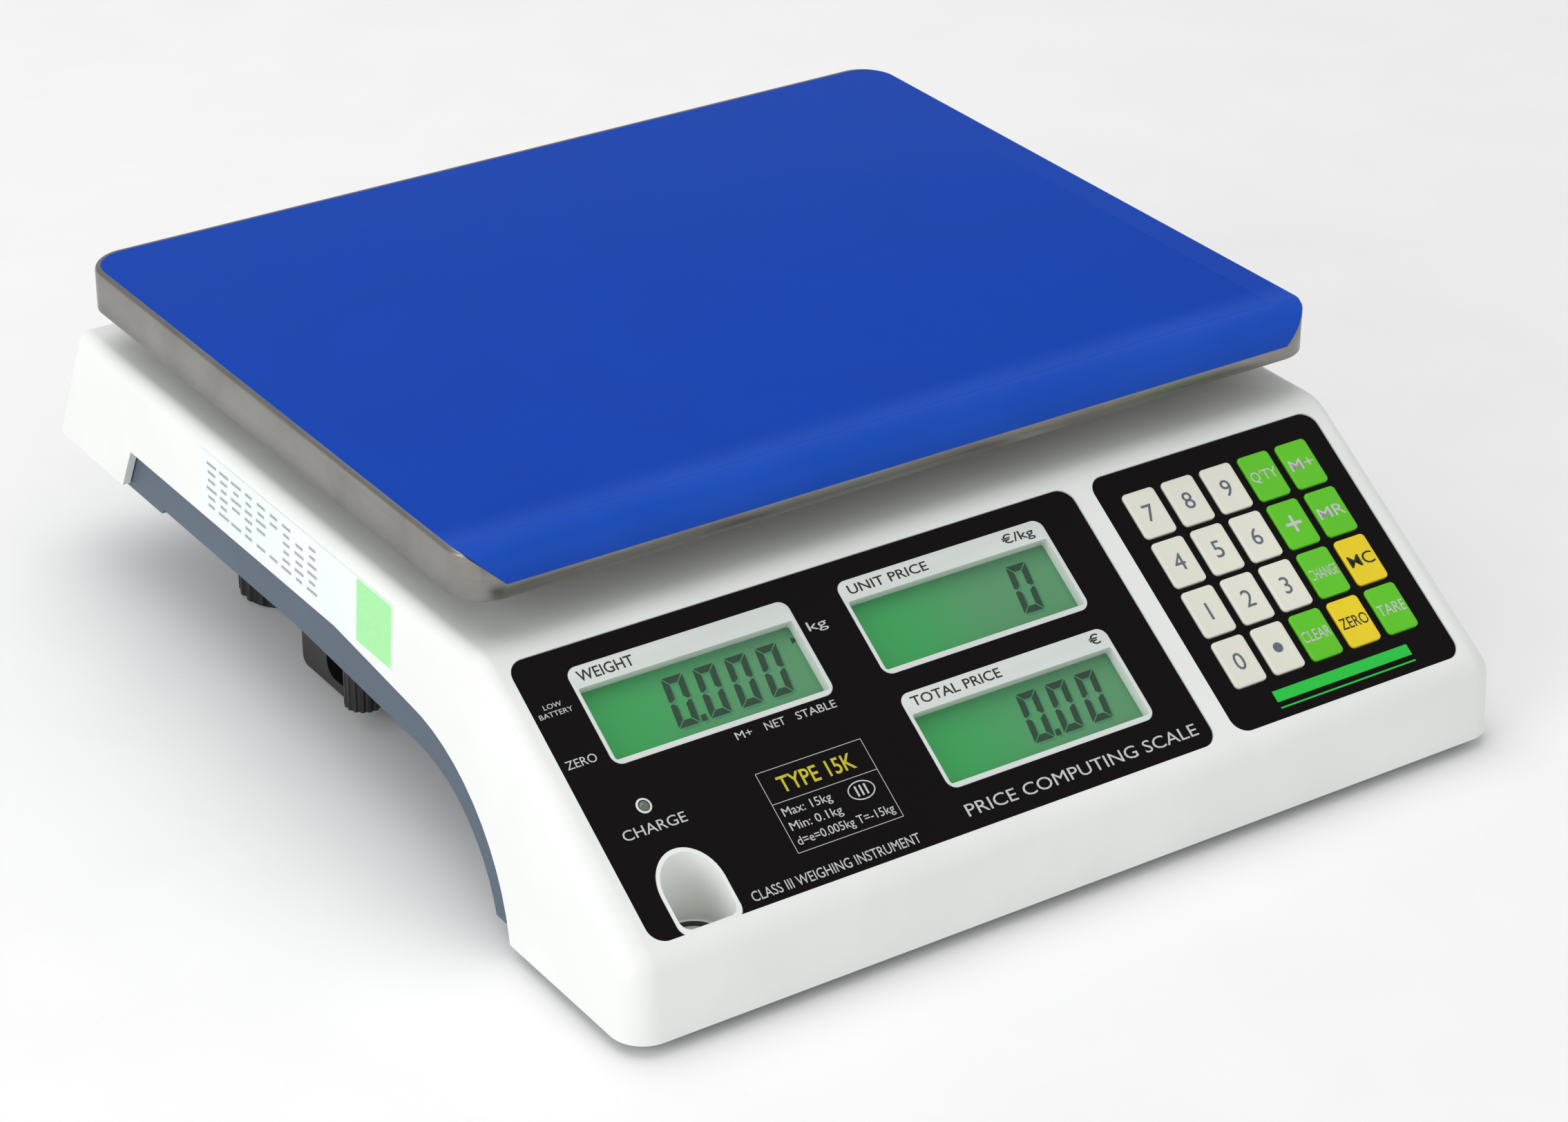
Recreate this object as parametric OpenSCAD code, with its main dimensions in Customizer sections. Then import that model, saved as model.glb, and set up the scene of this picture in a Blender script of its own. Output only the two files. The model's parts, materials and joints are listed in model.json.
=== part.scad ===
// Price-computing retail scale: a pan on a single-point load cell, over a sloped display and keypad.
// Origin: on the table under the middle of the body. +X right, +Y to the customer's side, +Z up.

/* [Body] */
// Width of the housing at its lower edge
body_w = 303; // [290:1:340]
// Depth from the front lower edge to the rear lower edge
body_d = 345; // [330:1:400]
// Height of the deck, which is the flat top of the housing
deck_z = 81.5; // [78:0.5:95]
// Height of the housing's front lower edge above the table
skirt_z = 4; // [4:0.5:6]
// Wall of the housing and of the base
wall = 2.5; // [2:0.1:3]
// Lean of the side and front walls from upright, degrees
draft = 3; // [1:0.5:4]
// Lean of the rear wall from upright, degrees
rear_lean = 23.5; // [15:0.5:26]
// Slope of the control panel from level, degrees
slope = 33.4; // [28:0.2:36]
// Height of the front face, from its lower edge to the slope
front_h = 23; // [20:0.5:28]

/* [Arch under the sides] */
// Height of the housing's lower edge along the sides
side_edge_z = 55.5; // [52:0.5:59]
// Height of the housing's lower edge at the rear corners
rear_edge_z = 41.8; // [38:0.2:44]
// Length of each rear corner piece, along the side
rear_corner_l = 48.5; // [40:0.5:60]
// Radius of the arch in the housing's lower edge
arch_r = 61.3; // [56:0.1:66]
// Radius of the arch in the base's lower edge
base_arch_r = 50; // [46:0.5:53]
// How much of the base shows below the housing's edge
band = 13.5; // [11:0.5:15]
// Distance of the arch's centre behind the front edge
arch_back = 121.5; // [115:0.5:130]

/* [Pan] */
// Width of the pan
pan_w = 294; // [270:1:300]
// Depth of the pan
pan_d = 233; // [220:1:240]
// Height of the pan's top above the table
pan_z = 109; // [106:0.5:124]
// Thickness of the pan's sheet
pan_t = 1; // [0.8:0.1:1.5]
// Depth of the pan's skirt
pan_skirt = 14.5; // [12:0.5:16]
// Corner radius of the pan, seen from above
pan_r = 12; // [8:0.5:20]
// Radius of the bend along the pan's front edge
bend_r = 10; // [6:0.5:12]
// Radius of the fold along its other edges
fold_r = 2; // [1.2:0.1:3]
// Thickness of the protective film
film_t = 0.3; // [0.2:0.05:0.5]
// Inset of the film from the pan's edge
film_inset = 1.2; // [0.5:0.1:4]

/* [Control panel] */
// Length of both overlays up the slope
panel_l = 88.5; // [80:0.5:92]
// Distance between the overlays' outer edges
panel_w = 280; // [270:1:281]
// Width of the keypad overlay
keypad_w = 84.3; // [80:0.1:90]
// Gap between the two overlays
panel_gap = 7.1; // [5:0.1:12]
// Thickness of the overlays
overlay_t = 0.5; // [0.3:0.1:0.8]
// Depth of the recess that the overlays lie in
recess = 1; // [0.8:0.1:1.4]
// Corner radius of the overlays
overlay_r = 5; // [3:0.5:8]

/* [Displays] */
// Width of a display frame
frame_w = 71.4; // [68:0.1:73]
// Height of a display frame
frame_h = 31; // [28:0.5:31.5]
// Width of a display window
window_w = 69.2; // [60:0.1:70]
// Height of a display window
window_h = 22.8; // [18:0.1:24]
// Depth of the display glass below the frame's face
window_deep = 3.4; // [2.5:0.1:4]

/* [Keys] */
// Width of a key
key_w = 11.5; // [10:0.1:12]
// Height of a key, up the slope
key_h = 15.6; // [13:0.1:16]
// Distance between neighbouring keys across the slope
key_dx = 14.35; // [14.2:0.05:15]
// Distance between neighbouring keys up the slope
key_dy = 17.4; // [17.2:0.05:18]
// How far a key stands out of the overlay
key_up = 0.6; // [0.3:0.1:1.2]
// Travel of a key
key_travel = 0.5; // [0.3:0.1:0.6]

/* [Customer side] */
// Width of the overlay on the rear wall
customer_w = 244; // [230:1:260]
// Height of the overlay on the rear wall
customer_h = 32; // [28:0.5:34]
// Width of a window in it
customer_window_w = 64; // [50:0.5:66]
// Height of a window in it
customer_window_h = 19; // [14:0.5:20]

/* [Feet] */
// Radius of a foot's grip wheel
foot_r = 14.5; // [12:0.5:15]
// Height of a foot's grip wheel
foot_h = 9; // [8:0.5:9]
// Distance of the rear feet from the middle, sideways
foot_x_rear = 104.5; // [102:0.5:106]
// Distance of the front feet from the middle, sideways
foot_x_front = 95; // [60:0.5:96]
// Levelling travel each way from mid-height
foot_travel = 3; // [1:0.5:3]

/* [Hidden] */
KEY_NAMES = ["key_7", "key_8", "key_9", "key_quantity", "key_memory_add",
             "key_4", "key_5", "key_6", "key_plus", "key_memory_recall",
             "key_1", "key_2", "key_3", "key_change", "key_memory_clear",
             "key_0", "key_point", "key_clear", "key_zero", "key_tare"];
KEY_COLOURS = ["ivory", "ivory", "ivory", "limegreen", "limegreen",
               "ivory", "ivory", "ivory", "limegreen", "limegreen",
               "ivory", "ivory", "ivory", "limegreen", "gold",
               "ivory", "ivory", "limegreen", "gold", "limegreen"];

white = [0.88, 0.9, 0.88];
slate = [0.33, 0.39, 0.45];
black = [0.09, 0.08, 0.09];
steel = [0.62, 0.6, 0.57];

fit = 0.4;            // gap between the base and the housing round it
tongue = 4;           // how far the base reaches up inside the housing
slip = 0.15;          // gap round a piece laid in its recess
eps = 0.01;
front_y = -body_d / 2;
rear_y = body_d / 2;
far = body_d;         // a length that clears the whole body

// The slope plane: the overlays' faces lie on it, and the housing stands lip above it.
lip = recess - overlay_t;
front_top = [front_y + front_h * tan(draft), skirt_z + front_h];
panel_0 = front_top + 6.3 * [cos(slope), sin(slope)] + lip * [sin(slope), -cos(slope)];

// Rounded body: spheres rolled inside the side profile, and hulled.
corner_front_r = 12;
corner_slope_r = 9;
edge_r = 5;
corner_rear_r = 8;
deck_bend_r = 15;     // bend from the slope to the deck
low_z = -25;          // the rolled body runs on below the table and is cut to its edge later

function meet(p, a, q, b) = p + a * cross(q - p, b) / cross(a, b);
function out_of(a) = [-a[1], a[0]];   // left of a direction: out of the body, going front to rear

front_dir = [sin(draft), cos(draft)];
slope_dir = [cos(slope), sin(slope)];
deck_dir = [1, 0];
rear_dir = [sin(rear_lean), -cos(rear_lean)];
front_pt = [front_y, skirt_z];
rear_pt = [rear_y, rear_edge_z];

function rolled(p, a, q, b, r) = meet(p - r * out_of(a), a, q - r * out_of(b), b);
bend_c = rolled(front_top, slope_dir, [0, deck_z], deck_dir, deck_bend_r);
bend_steps = 4;
SPHERES = concat(
    [concat(meet(front_pt - corner_front_r * out_of(front_dir), front_dir, [0, low_z], [1, 0]),
            corner_front_r),
     concat(rolled(front_pt, front_dir, front_top, slope_dir, corner_slope_r), corner_slope_r)],
    [for (i = [0:bend_steps]) let (a = 90 + slope * (1 - i / bend_steps))
        concat(bend_c + (deck_bend_r - edge_r) * [cos(a), sin(a)], edge_r)],
    [concat(rolled([0, deck_z], deck_dir, rear_pt, rear_dir, edge_r), edge_r),
     concat(meet(rear_pt - corner_rear_r * out_of(rear_dir), rear_dir, [0, low_z], [1, 0]), corner_rear_r)]);

function side_x(z) = body_w / 2 - (z - skirt_z) * tan(draft);

// Lower edges of the housing and of the base, as lines from the rear to the front.
arch_step = 6;
arch_c = [front_y + arch_back, -10];
base_arch_c = arch_c - [1, 2];
function arch_line(c, r, flat_l, flat_z, end_z) = concat(
    [[c[0] + flat_l, flat_z]],
    [for (a = [93.3:arch_step:180 - asin((end_z - c[1]) / r)]) c + r * [cos(a), sin(a)]],
    [[c[0] - sqrt(pow(r, 2) - pow(end_z - c[1], 2)), end_z]]);
notch_y = rear_y - rear_corner_l;
function notch_line(up) = [
    [notch_y, rear_edge_z + up],
    [notch_y - (side_edge_z - rear_edge_z) * tan(rear_lean), side_edge_z + up]];

base_edge_z = side_edge_z - band;
base_leg_z = rear_edge_z - 1.5;
base_front_z = skirt_z + 2;
leg_l = 69;           // length of the base's rear leg
leg_r = base_edge_z - base_leg_z;
leg_line = [for (a = [0:15:90]) [rear_y - leg_l - leg_r * sin(a), base_edge_z - leg_r * cos(a)]];

module below(edge, front_z, far_z) {
    rotate([90, 0, 90]) linear_extrude(height = 2 * body_w, center = true)
        polygon(concat([[far, -far], [far, far_z]], edge, [[-far, front_z], [-far, -far]]));
}
module below_housing() {
    below(concat(notch_line(0), arch_line(arch_c, arch_r, 40, side_edge_z, skirt_z)), skirt_z, rear_edge_z);
}
module below_base(up) {
    below(concat([for (p = leg_line) p + [0, up]],
                 arch_line(base_arch_c, base_arch_r + up, 70, base_edge_z + up, base_front_z + up)),
          base_front_z + up, base_leg_z + up);
}
// Everything below the top of the tongue with which the base reaches up inside the housing.
module below_tongue() {
    below(concat(notch_line(tongue),
                 arch_line(arch_c, arch_r + tongue, 40, side_edge_z + tongue, skirt_z + 8)),
          skirt_z + 8, rear_edge_z + tongue);
}
module rolled_body(inset, fn) {
    hull() for (s = SPHERES, side = [-1, 1])
        translate([side * (side_x(s[1]) - s[2] / cos(draft)), s[0], s[1]])
            sphere(r = max(s[2] - inset, 0.2), $fn = fn);
}
module rrect(w, h, r) {
    square([w - 2 * r, h], center = true);
    square([w, h - 2 * r], center = true);
    for (i = [-1, 1], j = [-1, 1]) translate([i * (w / 2 - r), j * (h / 2 - r)]) circle(r = r, $fn = 32);
}
module plate(w, h, r, z0, z1) {
    translate([0, 0, z0]) linear_extrude(height = z1 - z0) rrect(w, h, r);
}
module on_panel(x = 0, v = 0) {
    translate([0, panel_0[0], panel_0[1]]) rotate([slope, 0, 0]) translate([x, v, 0]) children();
}
// On the rear wall: x to the customer's right, v up the wall from its lower edge.
module on_rear(x = 0, v = 0) {
    translate([0, rear_y, rear_edge_z]) rotate([90 - rear_lean, 0, 180]) translate([x, v, 0]) children();
}
module above_panel(w) {
    on_panel(0, 0) translate([-body_w, -far, w]) cube([2 * body_w, 3 * far, far]);
}

// Places on the panel: x across, v up the slope from the overlays' lower edge.
display_w = panel_w - keypad_w - panel_gap;
display_x = -panel_w / 2 + display_w / 2;
keypad_x = panel_w / 2 - keypad_w / 2;
frame_top_v = panel_l - 6.6;
frame_gap_v = 6.7;
frame_gap_x = 16.6;
weight_x = -panel_w / 2 + 15 + frame_w / 2;
price_x = weight_x + frame_w + frame_gap_x;
upper_v = frame_top_v - frame_h / 2;
lower_v = upper_v - frame_h - frame_gap_v;
FRAMES = [[weight_x, upper_v], [price_x, upper_v], [price_x, lower_v]];
window_up = 1.6;      // frame below the window; the rest of the frame is its header
collar_w = 0.7;       // wall of the collar that lines the window
window_dv = -frame_h / 2 + window_up + window_h / 2;
lcd_w = 73;
lcd_h = 27;
glass_t = 2.2;
light_t = 3.5;
board_t = 1.6;
lcd_back = window_deep + glass_t + light_t;
led_x = -panel_w / 2 + 17;
led_v = 37.8;
led_r = 1.5;

// Customer side
customer_v = customer_h / 2 + 5;
customer_dx = 78;
customer_lcd_deep = wall + 0.7;

// Keypad
key_r = 1.6;
key_gap = 0.25;
flange = 0.6;
flange_w0 = -1.8;
flange_w1 = -0.9;
key_v0 = 20.6;        // middle of the bottom row
membrane_t = 0.6;
membrane_w = flange_w0 - key_travel - 0.1;
function key_pos(i) = [keypad_x + (i % 5 - 2) * key_dx, key_v0 + (3 - floor(i / 5)) * key_dy];
pad_w = 5 * key_dx + 0.6;
pad_h = 4 * key_dy + 0.6;
pad_v = key_v0 + 1.5 * key_dy;

// Spirit level, seen through an arch-shaped well
level_x = -panel_w / 2 + 18.6;
level_y = front_y + 16.4;
level_r = 8.9;
level_front = 9.1;
level_corner = 3;
level_top = skirt_z + 16.5;
level_h = 8;
vial_r = 8.2;
rim = 1.1;

// Pan and what carries it
pan_y = rear_y - 24.8 - pan_d / 2;
cushion_r = 7;
cushion_t = 4;
arm_t = 5;
arm_top = pan_z - pan_t - cushion_t;
arm_x = 105;
arm_y = 75;
plateau_w = 236;
plateau_d = 197;
plateau_y = pan_y + 11.8;
plateau_top = arm_top - arm_t - 4;
belly_z = 16;         // underside of the belly
floor_z = belly_z + wall;
cell_l = 130;
cell_w = 30;
cell_h = 22;
cell_z = floor_z + 10;
cell_top = cell_z + cell_h;
column_x = 48;
column_l = 34;
bolt_xs = [38, 52];
bolt_r = 2.9;
stop_x = 61;
stop_gap = 0.6;
window_col = 8;       // room round the column where it passes the plateau

// Base
belly_rear_w = 176;
belly_front_w = 240;
belly_rear_end = rear_y - 32.5;
belly_split = front_y + 184.5;
belly_front_y = arch_c[0] - 54;
boss_r = 12;
pocket_r = foot_r + 1;
pocket_wall = 2;
insert_r = 6.5;
stem_r = 4;
thread_gap = 0.05;
foot_ceiling = foot_h + foot_travel + 0.5;
insert_top = foot_ceiling + 13.5;
foot_y_front = front_y + 28.2;
foot_y_rear = rear_y - 65.8;
FEET = [[-foot_x_front, foot_y_front], [foot_x_front, foot_y_front],
        [-foot_x_rear, foot_y_rear], [foot_x_rear, foot_y_rear]];
screw_x = body_w / 2 - 15.5;
SCREWS = [[rear_y - 32, base_leg_z], [rear_y - 112, base_edge_z], [front_y + 47.5, base_front_z]];
screw_r = 1.6;
screw_boss_r = 5;
screw_deep = 4;       // how deep the screws' heads sit

// Main board, transformer and battery
board_x = -42;
board_y = -78;
board_l = 114;
board_w = 70;
board_post_h = 6;
transformer_x = -108;
transformer_y = -74;
battery_l = 101;
battery_w = 47;
battery_h = 70;
tab_zs = [17, 53];

// Power inlet, fuse and switch, in the nooks beside the rear belly
inlet_x = -125;
inlet_y = rear_y - 131;
inlet_w = 30;
inlet_z0 = skirt_z;
socket_w = 13;
socket_h = 23;
socket_deep = 17;
pin_r = 1.2;
pin_apart = 8.6;
socket_y = inlet_y - 7;
socket_z = inlet_z0 + 15;
fuse_r = 6;
fuse_neck_r = 4;
fuse_x = -124;
fuse_y = inlet_y - inlet_w / 2 - fuse_r - 0.5;
switch_y = rear_y - 137;
switch_z = belly_z + 15;
rocker_r = 9;
rocker_w = 11;
rocker_deep = 3;
rocker_tilt = 8;
switch_x = belly_rear_w / 2;

// Label on the left side
label_l = 115;
label_h = 20.5;
label_t = 0.15;
label_y = rear_y - 159.3;
label_z = side_edge_z + 1.3 + label_h / 2;

module pan_plan(inset) {
    translate([0, pan_y]) rrect(pan_w - 2 * inset, pan_d - 2 * inset, pan_r - inset);
}
// The pan's outside, grown by some thickness: flat on top, with each edge bent down.
module pan_form(grow) {
    y0 = pan_y - pan_d / 2;
    y1 = pan_y + pan_d / 2;
    z0 = pan_z - pan_skirt - 5;
    front_z = pan_z - bend_r;
    fold_z = pan_z - fold_r;
    intersection() {
        rotate([90, 0, 90]) linear_extrude(height = pan_w + 10, center = true) {
            translate([y0 + bend_r, z0]) square([y1 - fold_r - y0 - bend_r, pan_z + grow - z0]);
            translate([y0 - grow, z0]) square([bend_r + grow, front_z - z0]);
            translate([y0 + bend_r, front_z]) circle(r = bend_r + grow, $fn = 64);
            translate([y1 - fold_r - 1, z0]) square([fold_r + grow + 1, fold_z - z0]);
            translate([y1 - fold_r, fold_z]) circle(r = fold_r + grow, $fn = 32);
        }
        translate([0, y1 + 5, 0]) rotate([90, 0, 0]) linear_extrude(height = pan_d + 10) {
            translate([fold_r - pan_w / 2, z0]) square([pan_w - 2 * fold_r, pan_z + grow - z0]);
            translate([-pan_w / 2 - grow, z0]) square([pan_w + 2 * grow, fold_z - z0]);
            for (i = [-1, 1]) translate([i * (pan_w / 2 - fold_r), fold_z])
                circle(r = fold_r + grow, $fn = 32);
        }
    }
}
module pan() color(steel) difference() {
    intersection() {
        translate([0, 0, pan_z - pan_skirt]) linear_extrude(height = pan_skirt) pan_plan(0);
        pan_form(0);
    }
    intersection() {
        translate([0, 0, pan_z - pan_skirt - 1]) linear_extrude(height = pan_skirt + 1) pan_plan(pan_t);
        pan_form(-pan_t);
    }
}
module pan_film() color([0.08, 0.3, 0.75]) difference() {
    intersection() {
        translate([0, -film_inset - film_t, pan_z - bend_r])
            linear_extrude(height = bend_r + 1) pan_plan(film_inset);
        pan_form(film_t);
    }
    pan_form(0);
}
module pan_cushions() color("dimgray") for (i = [-1, 1], j = [-1, 1])
    translate([i * arm_x, pan_y + j * arm_y, arm_top]) cylinder(r = cushion_r, h = cushion_t, $fn = 32);

// One arm from the hub to a cushion, with a round pad at its end.
module spider_arm(i, j) {
    reach = norm([arm_x, arm_y]);
    translate([0, pan_y, arm_top - arm_t]) rotate([0, 0, atan2(j * arm_y, i * arm_x)]) {
        translate([0, -8, 0]) cube([reach, 16, arm_t]);
        translate([reach, 0, 0]) cylinder(r = cushion_r + 2, h = arm_t, $fn = 32);
    }
}
module pan_spider() color("gray") difference() {
    union() {
        for (i = [-1, 1], j = [-1, 1]) spider_arm(i, j);
        translate([-40, pan_y - 30, arm_top - arm_t]) cube([110, 60, arm_t]);
        translate([column_x - column_l / 2, pan_y - cell_w / 2, cell_top])
            cube([column_l, cell_w, arm_top - cell_top]);
    }
    for (x = bolt_xs) translate([x, pan_y, cell_top - 1])
        cylinder(r = bolt_r + thread_gap, h = 16, $fn = 32);
}
module load_cell() color("silver") difference() {
    translate([-cell_l / 2, pan_y - cell_w / 2, cell_z]) cube([cell_l, cell_w, cell_h]);
    for (x = [-14, 14]) translate([x, pan_y - cell_w, cell_z + cell_h / 2])
        rotate([-90, 0, 0]) cylinder(r = 8, h = 2 * cell_w, $fn = 48);
    translate([-14, pan_y - cell_w, cell_z + cell_h / 2 - 1.5]) cube([28, 2 * cell_w, 3]);
    for (x = concat(bolt_xs, -bolt_xs)) translate([x, pan_y, cell_z - 1])
        cylinder(r = bolt_r + thread_gap, h = cell_h + 2, $fn = 32);
}
module cell_spacer() color("silver") difference() {
    translate([-cell_l / 2, pan_y - cell_w / 2, floor_z]) cube([38, cell_w, cell_z - floor_z]);
    for (x = -bolt_xs) translate([x, pan_y, floor_z - 1])
        cylinder(r = bolt_r + thread_gap, h = cell_z - floor_z + 2, $fn = 32);
}
module bolt(x, y, head_z, l, r, head_r, head_h) {
    translate([x, y, head_z - head_h]) difference() {
        cylinder(r = head_r, h = head_h, $fn = 32);
        translate([0, 0, -eps]) cylinder(r = head_r * 0.55, h = head_h * 0.6, $fn = 6);
    }
    translate([x, y, head_z - eps]) cylinder(r = r, h = l, $fn = 32);
}
module platform_bolts() color("darkgray") for (x = bolt_xs)
    bolt(x, pan_y, cell_z, cell_h + 12, bolt_r, 4.5, 4);
module cell_bolts() color("darkgray") for (x = bolt_xs)
    bolt(-x, pan_y, belly_z, cell_top - belly_z - 2, bolt_r, 5, 4);
module overload_stop() color("darkgray") translate([stop_x, pan_y, 0]) {
    translate([0, 0, belly_z - 2]) cylinder(r = 2.4, h = cell_z - stop_gap - belly_z + 2, $fn = 32);
    translate([0, 0, floor_z]) cylinder(r = 3.8, h = 3, $fn = 6);
}

// The raised part of the deck under the pan, with sloping walls.
module plateau(inset) {
    hull() {
        translate([0, plateau_y, deck_z - wall - 4]) linear_extrude(height = 1)
            rrect(plateau_w - 2 * inset, plateau_d - 2 * inset, 10 - inset);
        translate([0, plateau_y, plateau_top - 1 - inset]) linear_extrude(height = 1)
            rrect(plateau_w - 10 - 2 * inset, plateau_d - 10 - 2 * inset, 8 - inset);
    }
}
// Plan of the spirit level's well, grown by some width.
module level_plan(grow) {
    translate([level_x, level_y]) {
        circle(r = level_r + grow, $fn = 64);
        half = level_r + grow;
        front = level_front + grow;
        translate([-half, level_corner - front]) square([2 * half, front - level_corner]);
        translate([level_corner - half, -front]) square([2 * (half - level_corner), front]);
        for (i = [-1, 1]) translate([i * (half - level_corner), level_corner - front])
            circle(r = level_corner, $fn = 32);
    }
}
module well(grow, z0) {
    translate([0, 0, z0]) linear_extrude(height = deck_z - z0) level_plan(grow);
}
module housing_bosses() {
    for (s = SCREWS, i = [-1, 1]) difference() {
        translate([i * screw_x, s[0], s[1] + screw_deep + wall + 0.1])
            cylinder(r = 4.5, h = deck_z - s[1] - screw_deep - 2 * wall + 0.4, $fn = 32);
        translate([i * screw_x, s[0], s[1]]) cylinder(r = screw_r + thread_gap, h = 26, $fn = 32);
        above_panel(-wall + lip + 0.4);
    }
}
module housing_recess(x, w) {
    on_panel(x, panel_l / 2) plate(w + 2 * slip, panel_l + 2 * slip, overlay_r + slip, -overlay_t, 5);
}
module upper_housing() color(white) difference() {
    union() {
        difference() {
            union() {
                rolled_body(0, 48);
                plateau(0);
            }
            rolled_body(wall, 20);
            plateau(wall);
            below_housing();
        }
        housing_bosses();
        difference() {
            well(2, level_top - level_h - 2);
            above_panel(-overlay_t - 0.3);
        }
        difference() {
            well(rim, level_top);
            above_panel(0.05);
        }
    }
    housing_recess_cut();
    for (f = FRAMES) on_panel(f[0], f[1] + window_dv)
        plate(window_w + 2 * collar_w + 0.2, window_h + 2 * collar_w + 0.2, 1.5, -8, 1);
    on_panel(led_x, led_v) translate([0, 0, -8]) cylinder(r = led_r + 0.1, h = 9, $fn = 32);
    on_panel(keypad_x, pad_v) plate(pad_w, pad_h, 2, -8, 1);
    on_rear(0, customer_v)
        plate(customer_w + 2 * slip, customer_h + 2 * slip, overlay_r, -recess, 5);
    for (i = [-1:1]) on_rear(i * customer_dx, customer_v)
        plate(customer_window_w + 1, customer_window_h + 1, 1.5, -8, 1);
    well(0, level_top);
    translate([level_x, level_y, level_top - level_h])
        cylinder(r = vial_r + thread_gap, h = level_h + 1, $fn = 64);
    translate([column_x, pan_y, plateau_top - 5])
        linear_extrude(height = 10) rrect(column_l + 2 * window_col, cell_w + 2 * window_col, 6);
}
// The overlays' recesses, less the rim round the spirit level's well.
module housing_recess_cut() difference() {
    union() {
        housing_recess(display_x, display_w);
        housing_recess(keypad_x, keypad_w);
    }
    difference() {
        well(rim, 0);
        above_panel(0.05);
    }
}

module belly(inset) {
    rear_from = belly_split - 10;
    translate([0, (rear_from + belly_rear_end) / 2, belly_z + inset])
        linear_extrude(height = base_edge_z - belly_z)
            rrect(belly_rear_w - 2 * inset, belly_rear_end - rear_from - 2 * inset, 6);
    translate([0, (belly_split + belly_front_y) / 2, belly_z + inset])
        linear_extrude(height = base_edge_z - belly_z)
            rrect(belly_front_w - 2 * inset, belly_split - belly_front_y - 2 * inset, 6);
}
module base() color(slate) difference() {
    union() {
        difference() {
            union() {
                difference() {
                    intersection() {
                        rolled_body(wall + fit, 32);
                        below_tongue();
                    }
                    below_base(0);
                    difference() {
                        rolled_body(2 * wall + fit, 16);
                        below_base(wall);
                    }
                }
                belly(0);
            }
            belly(wall);
        }
        for (f = FEET) translate([f[0], f[1], foot_ceiling])
            cylinder(r = boss_r, h = (f[1] > 0 ? base_edge_z + 1 : insert_top) - foot_ceiling, $fn = 48);
        for (i = [0, 1]) translate([FEET[i][0], FEET[i][1], base_front_z])
            cylinder(r = pocket_r + pocket_wall, h = foot_ceiling + pocket_wall - base_front_z, $fn = 64);
        for (s = SCREWS, i = [-1, 1]) translate([i * screw_x, s[0], s[1] + eps])
            cylinder(r = screw_boss_r, h = screw_deep + wall, $fn = 32);
        for (x = [7, board_l - 7], y = [8, board_w - 7]) translate([board_x + x, board_y + y, floor_z - eps])
            cylinder(r = 3, h = board_post_h + eps, $fn = 32);
    }
    for (f = FEET) {
        translate([f[0], f[1], -1]) cylinder(r = pocket_r, h = foot_ceiling + 1, $fn = 64);
        translate([f[0], f[1], 0]) cylinder(r = insert_r, h = insert_top, $fn = 48);
        translate([f[0], f[1], 0]) cylinder(r = stem_r + 0.5, h = insert_top + 12, $fn = 48);
    }
    for (s = SCREWS, i = [-1, 1]) translate([i * screw_x, s[0], 0]) {
        cylinder(r = 2.1, h = 2 * side_edge_z, $fn = 32);
        cylinder(r = screw_boss_r - 1.5, h = s[1] + screw_deep, $fn = 32);
    }
    for (x = -bolt_xs) translate([x, pan_y, 0]) cylinder(r = bolt_r + 0.1, h = floor_z + 1, $fn = 32);
    translate([stop_x, pan_y, 0]) cylinder(r = 2.4 + thread_gap, h = floor_z + 1, $fn = 32);
    well(2 + fit, level_top - level_h - 2 - fit);
    translate([fuse_x, fuse_y, 0]) cylinder(r = fuse_neck_r + thread_gap, h = 2 * side_edge_z, $fn = 48);
    translate([-belly_rear_w / 2 - 1, inlet_y - 11, belly_z + 8]) cube([wall + 2, 22, 18]);
    translate([switch_x - wall - 1, switch_y - 10.1, switch_z - 7.1]) cube([wall + 2, 20.2, 14.2]);
}
module base_screws() color("darkgray") for (s = SCREWS, i = [-1, 1])
    bolt(i * screw_x, s[0], s[1] + screw_deep, 18, screw_r, 3.2, 2.2);
module foot_inserts() color("goldenrod") for (f = FEET) translate([f[0], f[1], foot_ceiling]) difference() {
    cylinder(r = insert_r, h = insert_top - foot_ceiling, $fn = 48);
    translate([0, 0, -1]) cylinder(r = stem_r + thread_gap, h = insert_top, $fn = 48);
}
// A foot: scalloped grip wheel and stem.
module foot(f) color(black) translate([f[0], f[1], 0]) {
    lobes = 18;
    difference() {
        union() {
            translate([0, 0, 1]) cylinder(r = foot_r, h = foot_h - 1, $fn = 64);
            cylinder(r = foot_r - 1.5, h = 1.5, $fn = 64);
        }
        for (i = [0:lobes - 1]) rotate([0, 0, i * 360 / lobes]) translate([foot_r + 0.9, 0, -1])
            cylinder(r = 1.9, h = foot_h + 2, $fn = 24);
    }
    translate([0, 0, foot_h - eps]) cylinder(r = stem_r, h = 21, $fn = 48);
}

module display_overlay() color(black) difference() {
    on_panel(display_x, panel_l / 2) plate(display_w, panel_l, overlay_r, -overlay_t, 0);
    for (f = FRAMES) on_panel(f[0], f[1]) plate(frame_w + slip, frame_h + slip, 3.2, -2, 1);
    on_panel(led_x, led_v) translate([0, 0, -2]) cylinder(r = led_r + 0.1, h = 4, $fn = 32);
    well(rim + slip, 0);
}
module display_frames() color([0.78, 0.8, 0.78]) for (f = FRAMES) difference() {
    union() {
        on_panel(f[0], f[1]) plate(frame_w, frame_h, 3.2, -overlay_t, 0.2);
        on_panel(f[0], f[1] + window_dv)
            plate(window_w + 2 * collar_w, window_h + 2 * collar_w, 1.4, -window_deep, -overlay_t + eps);
    }
    on_panel(f[0], f[1] + window_dv) plate(window_w, window_h, 0.8, -window_deep - 1, 1);
}
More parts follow.
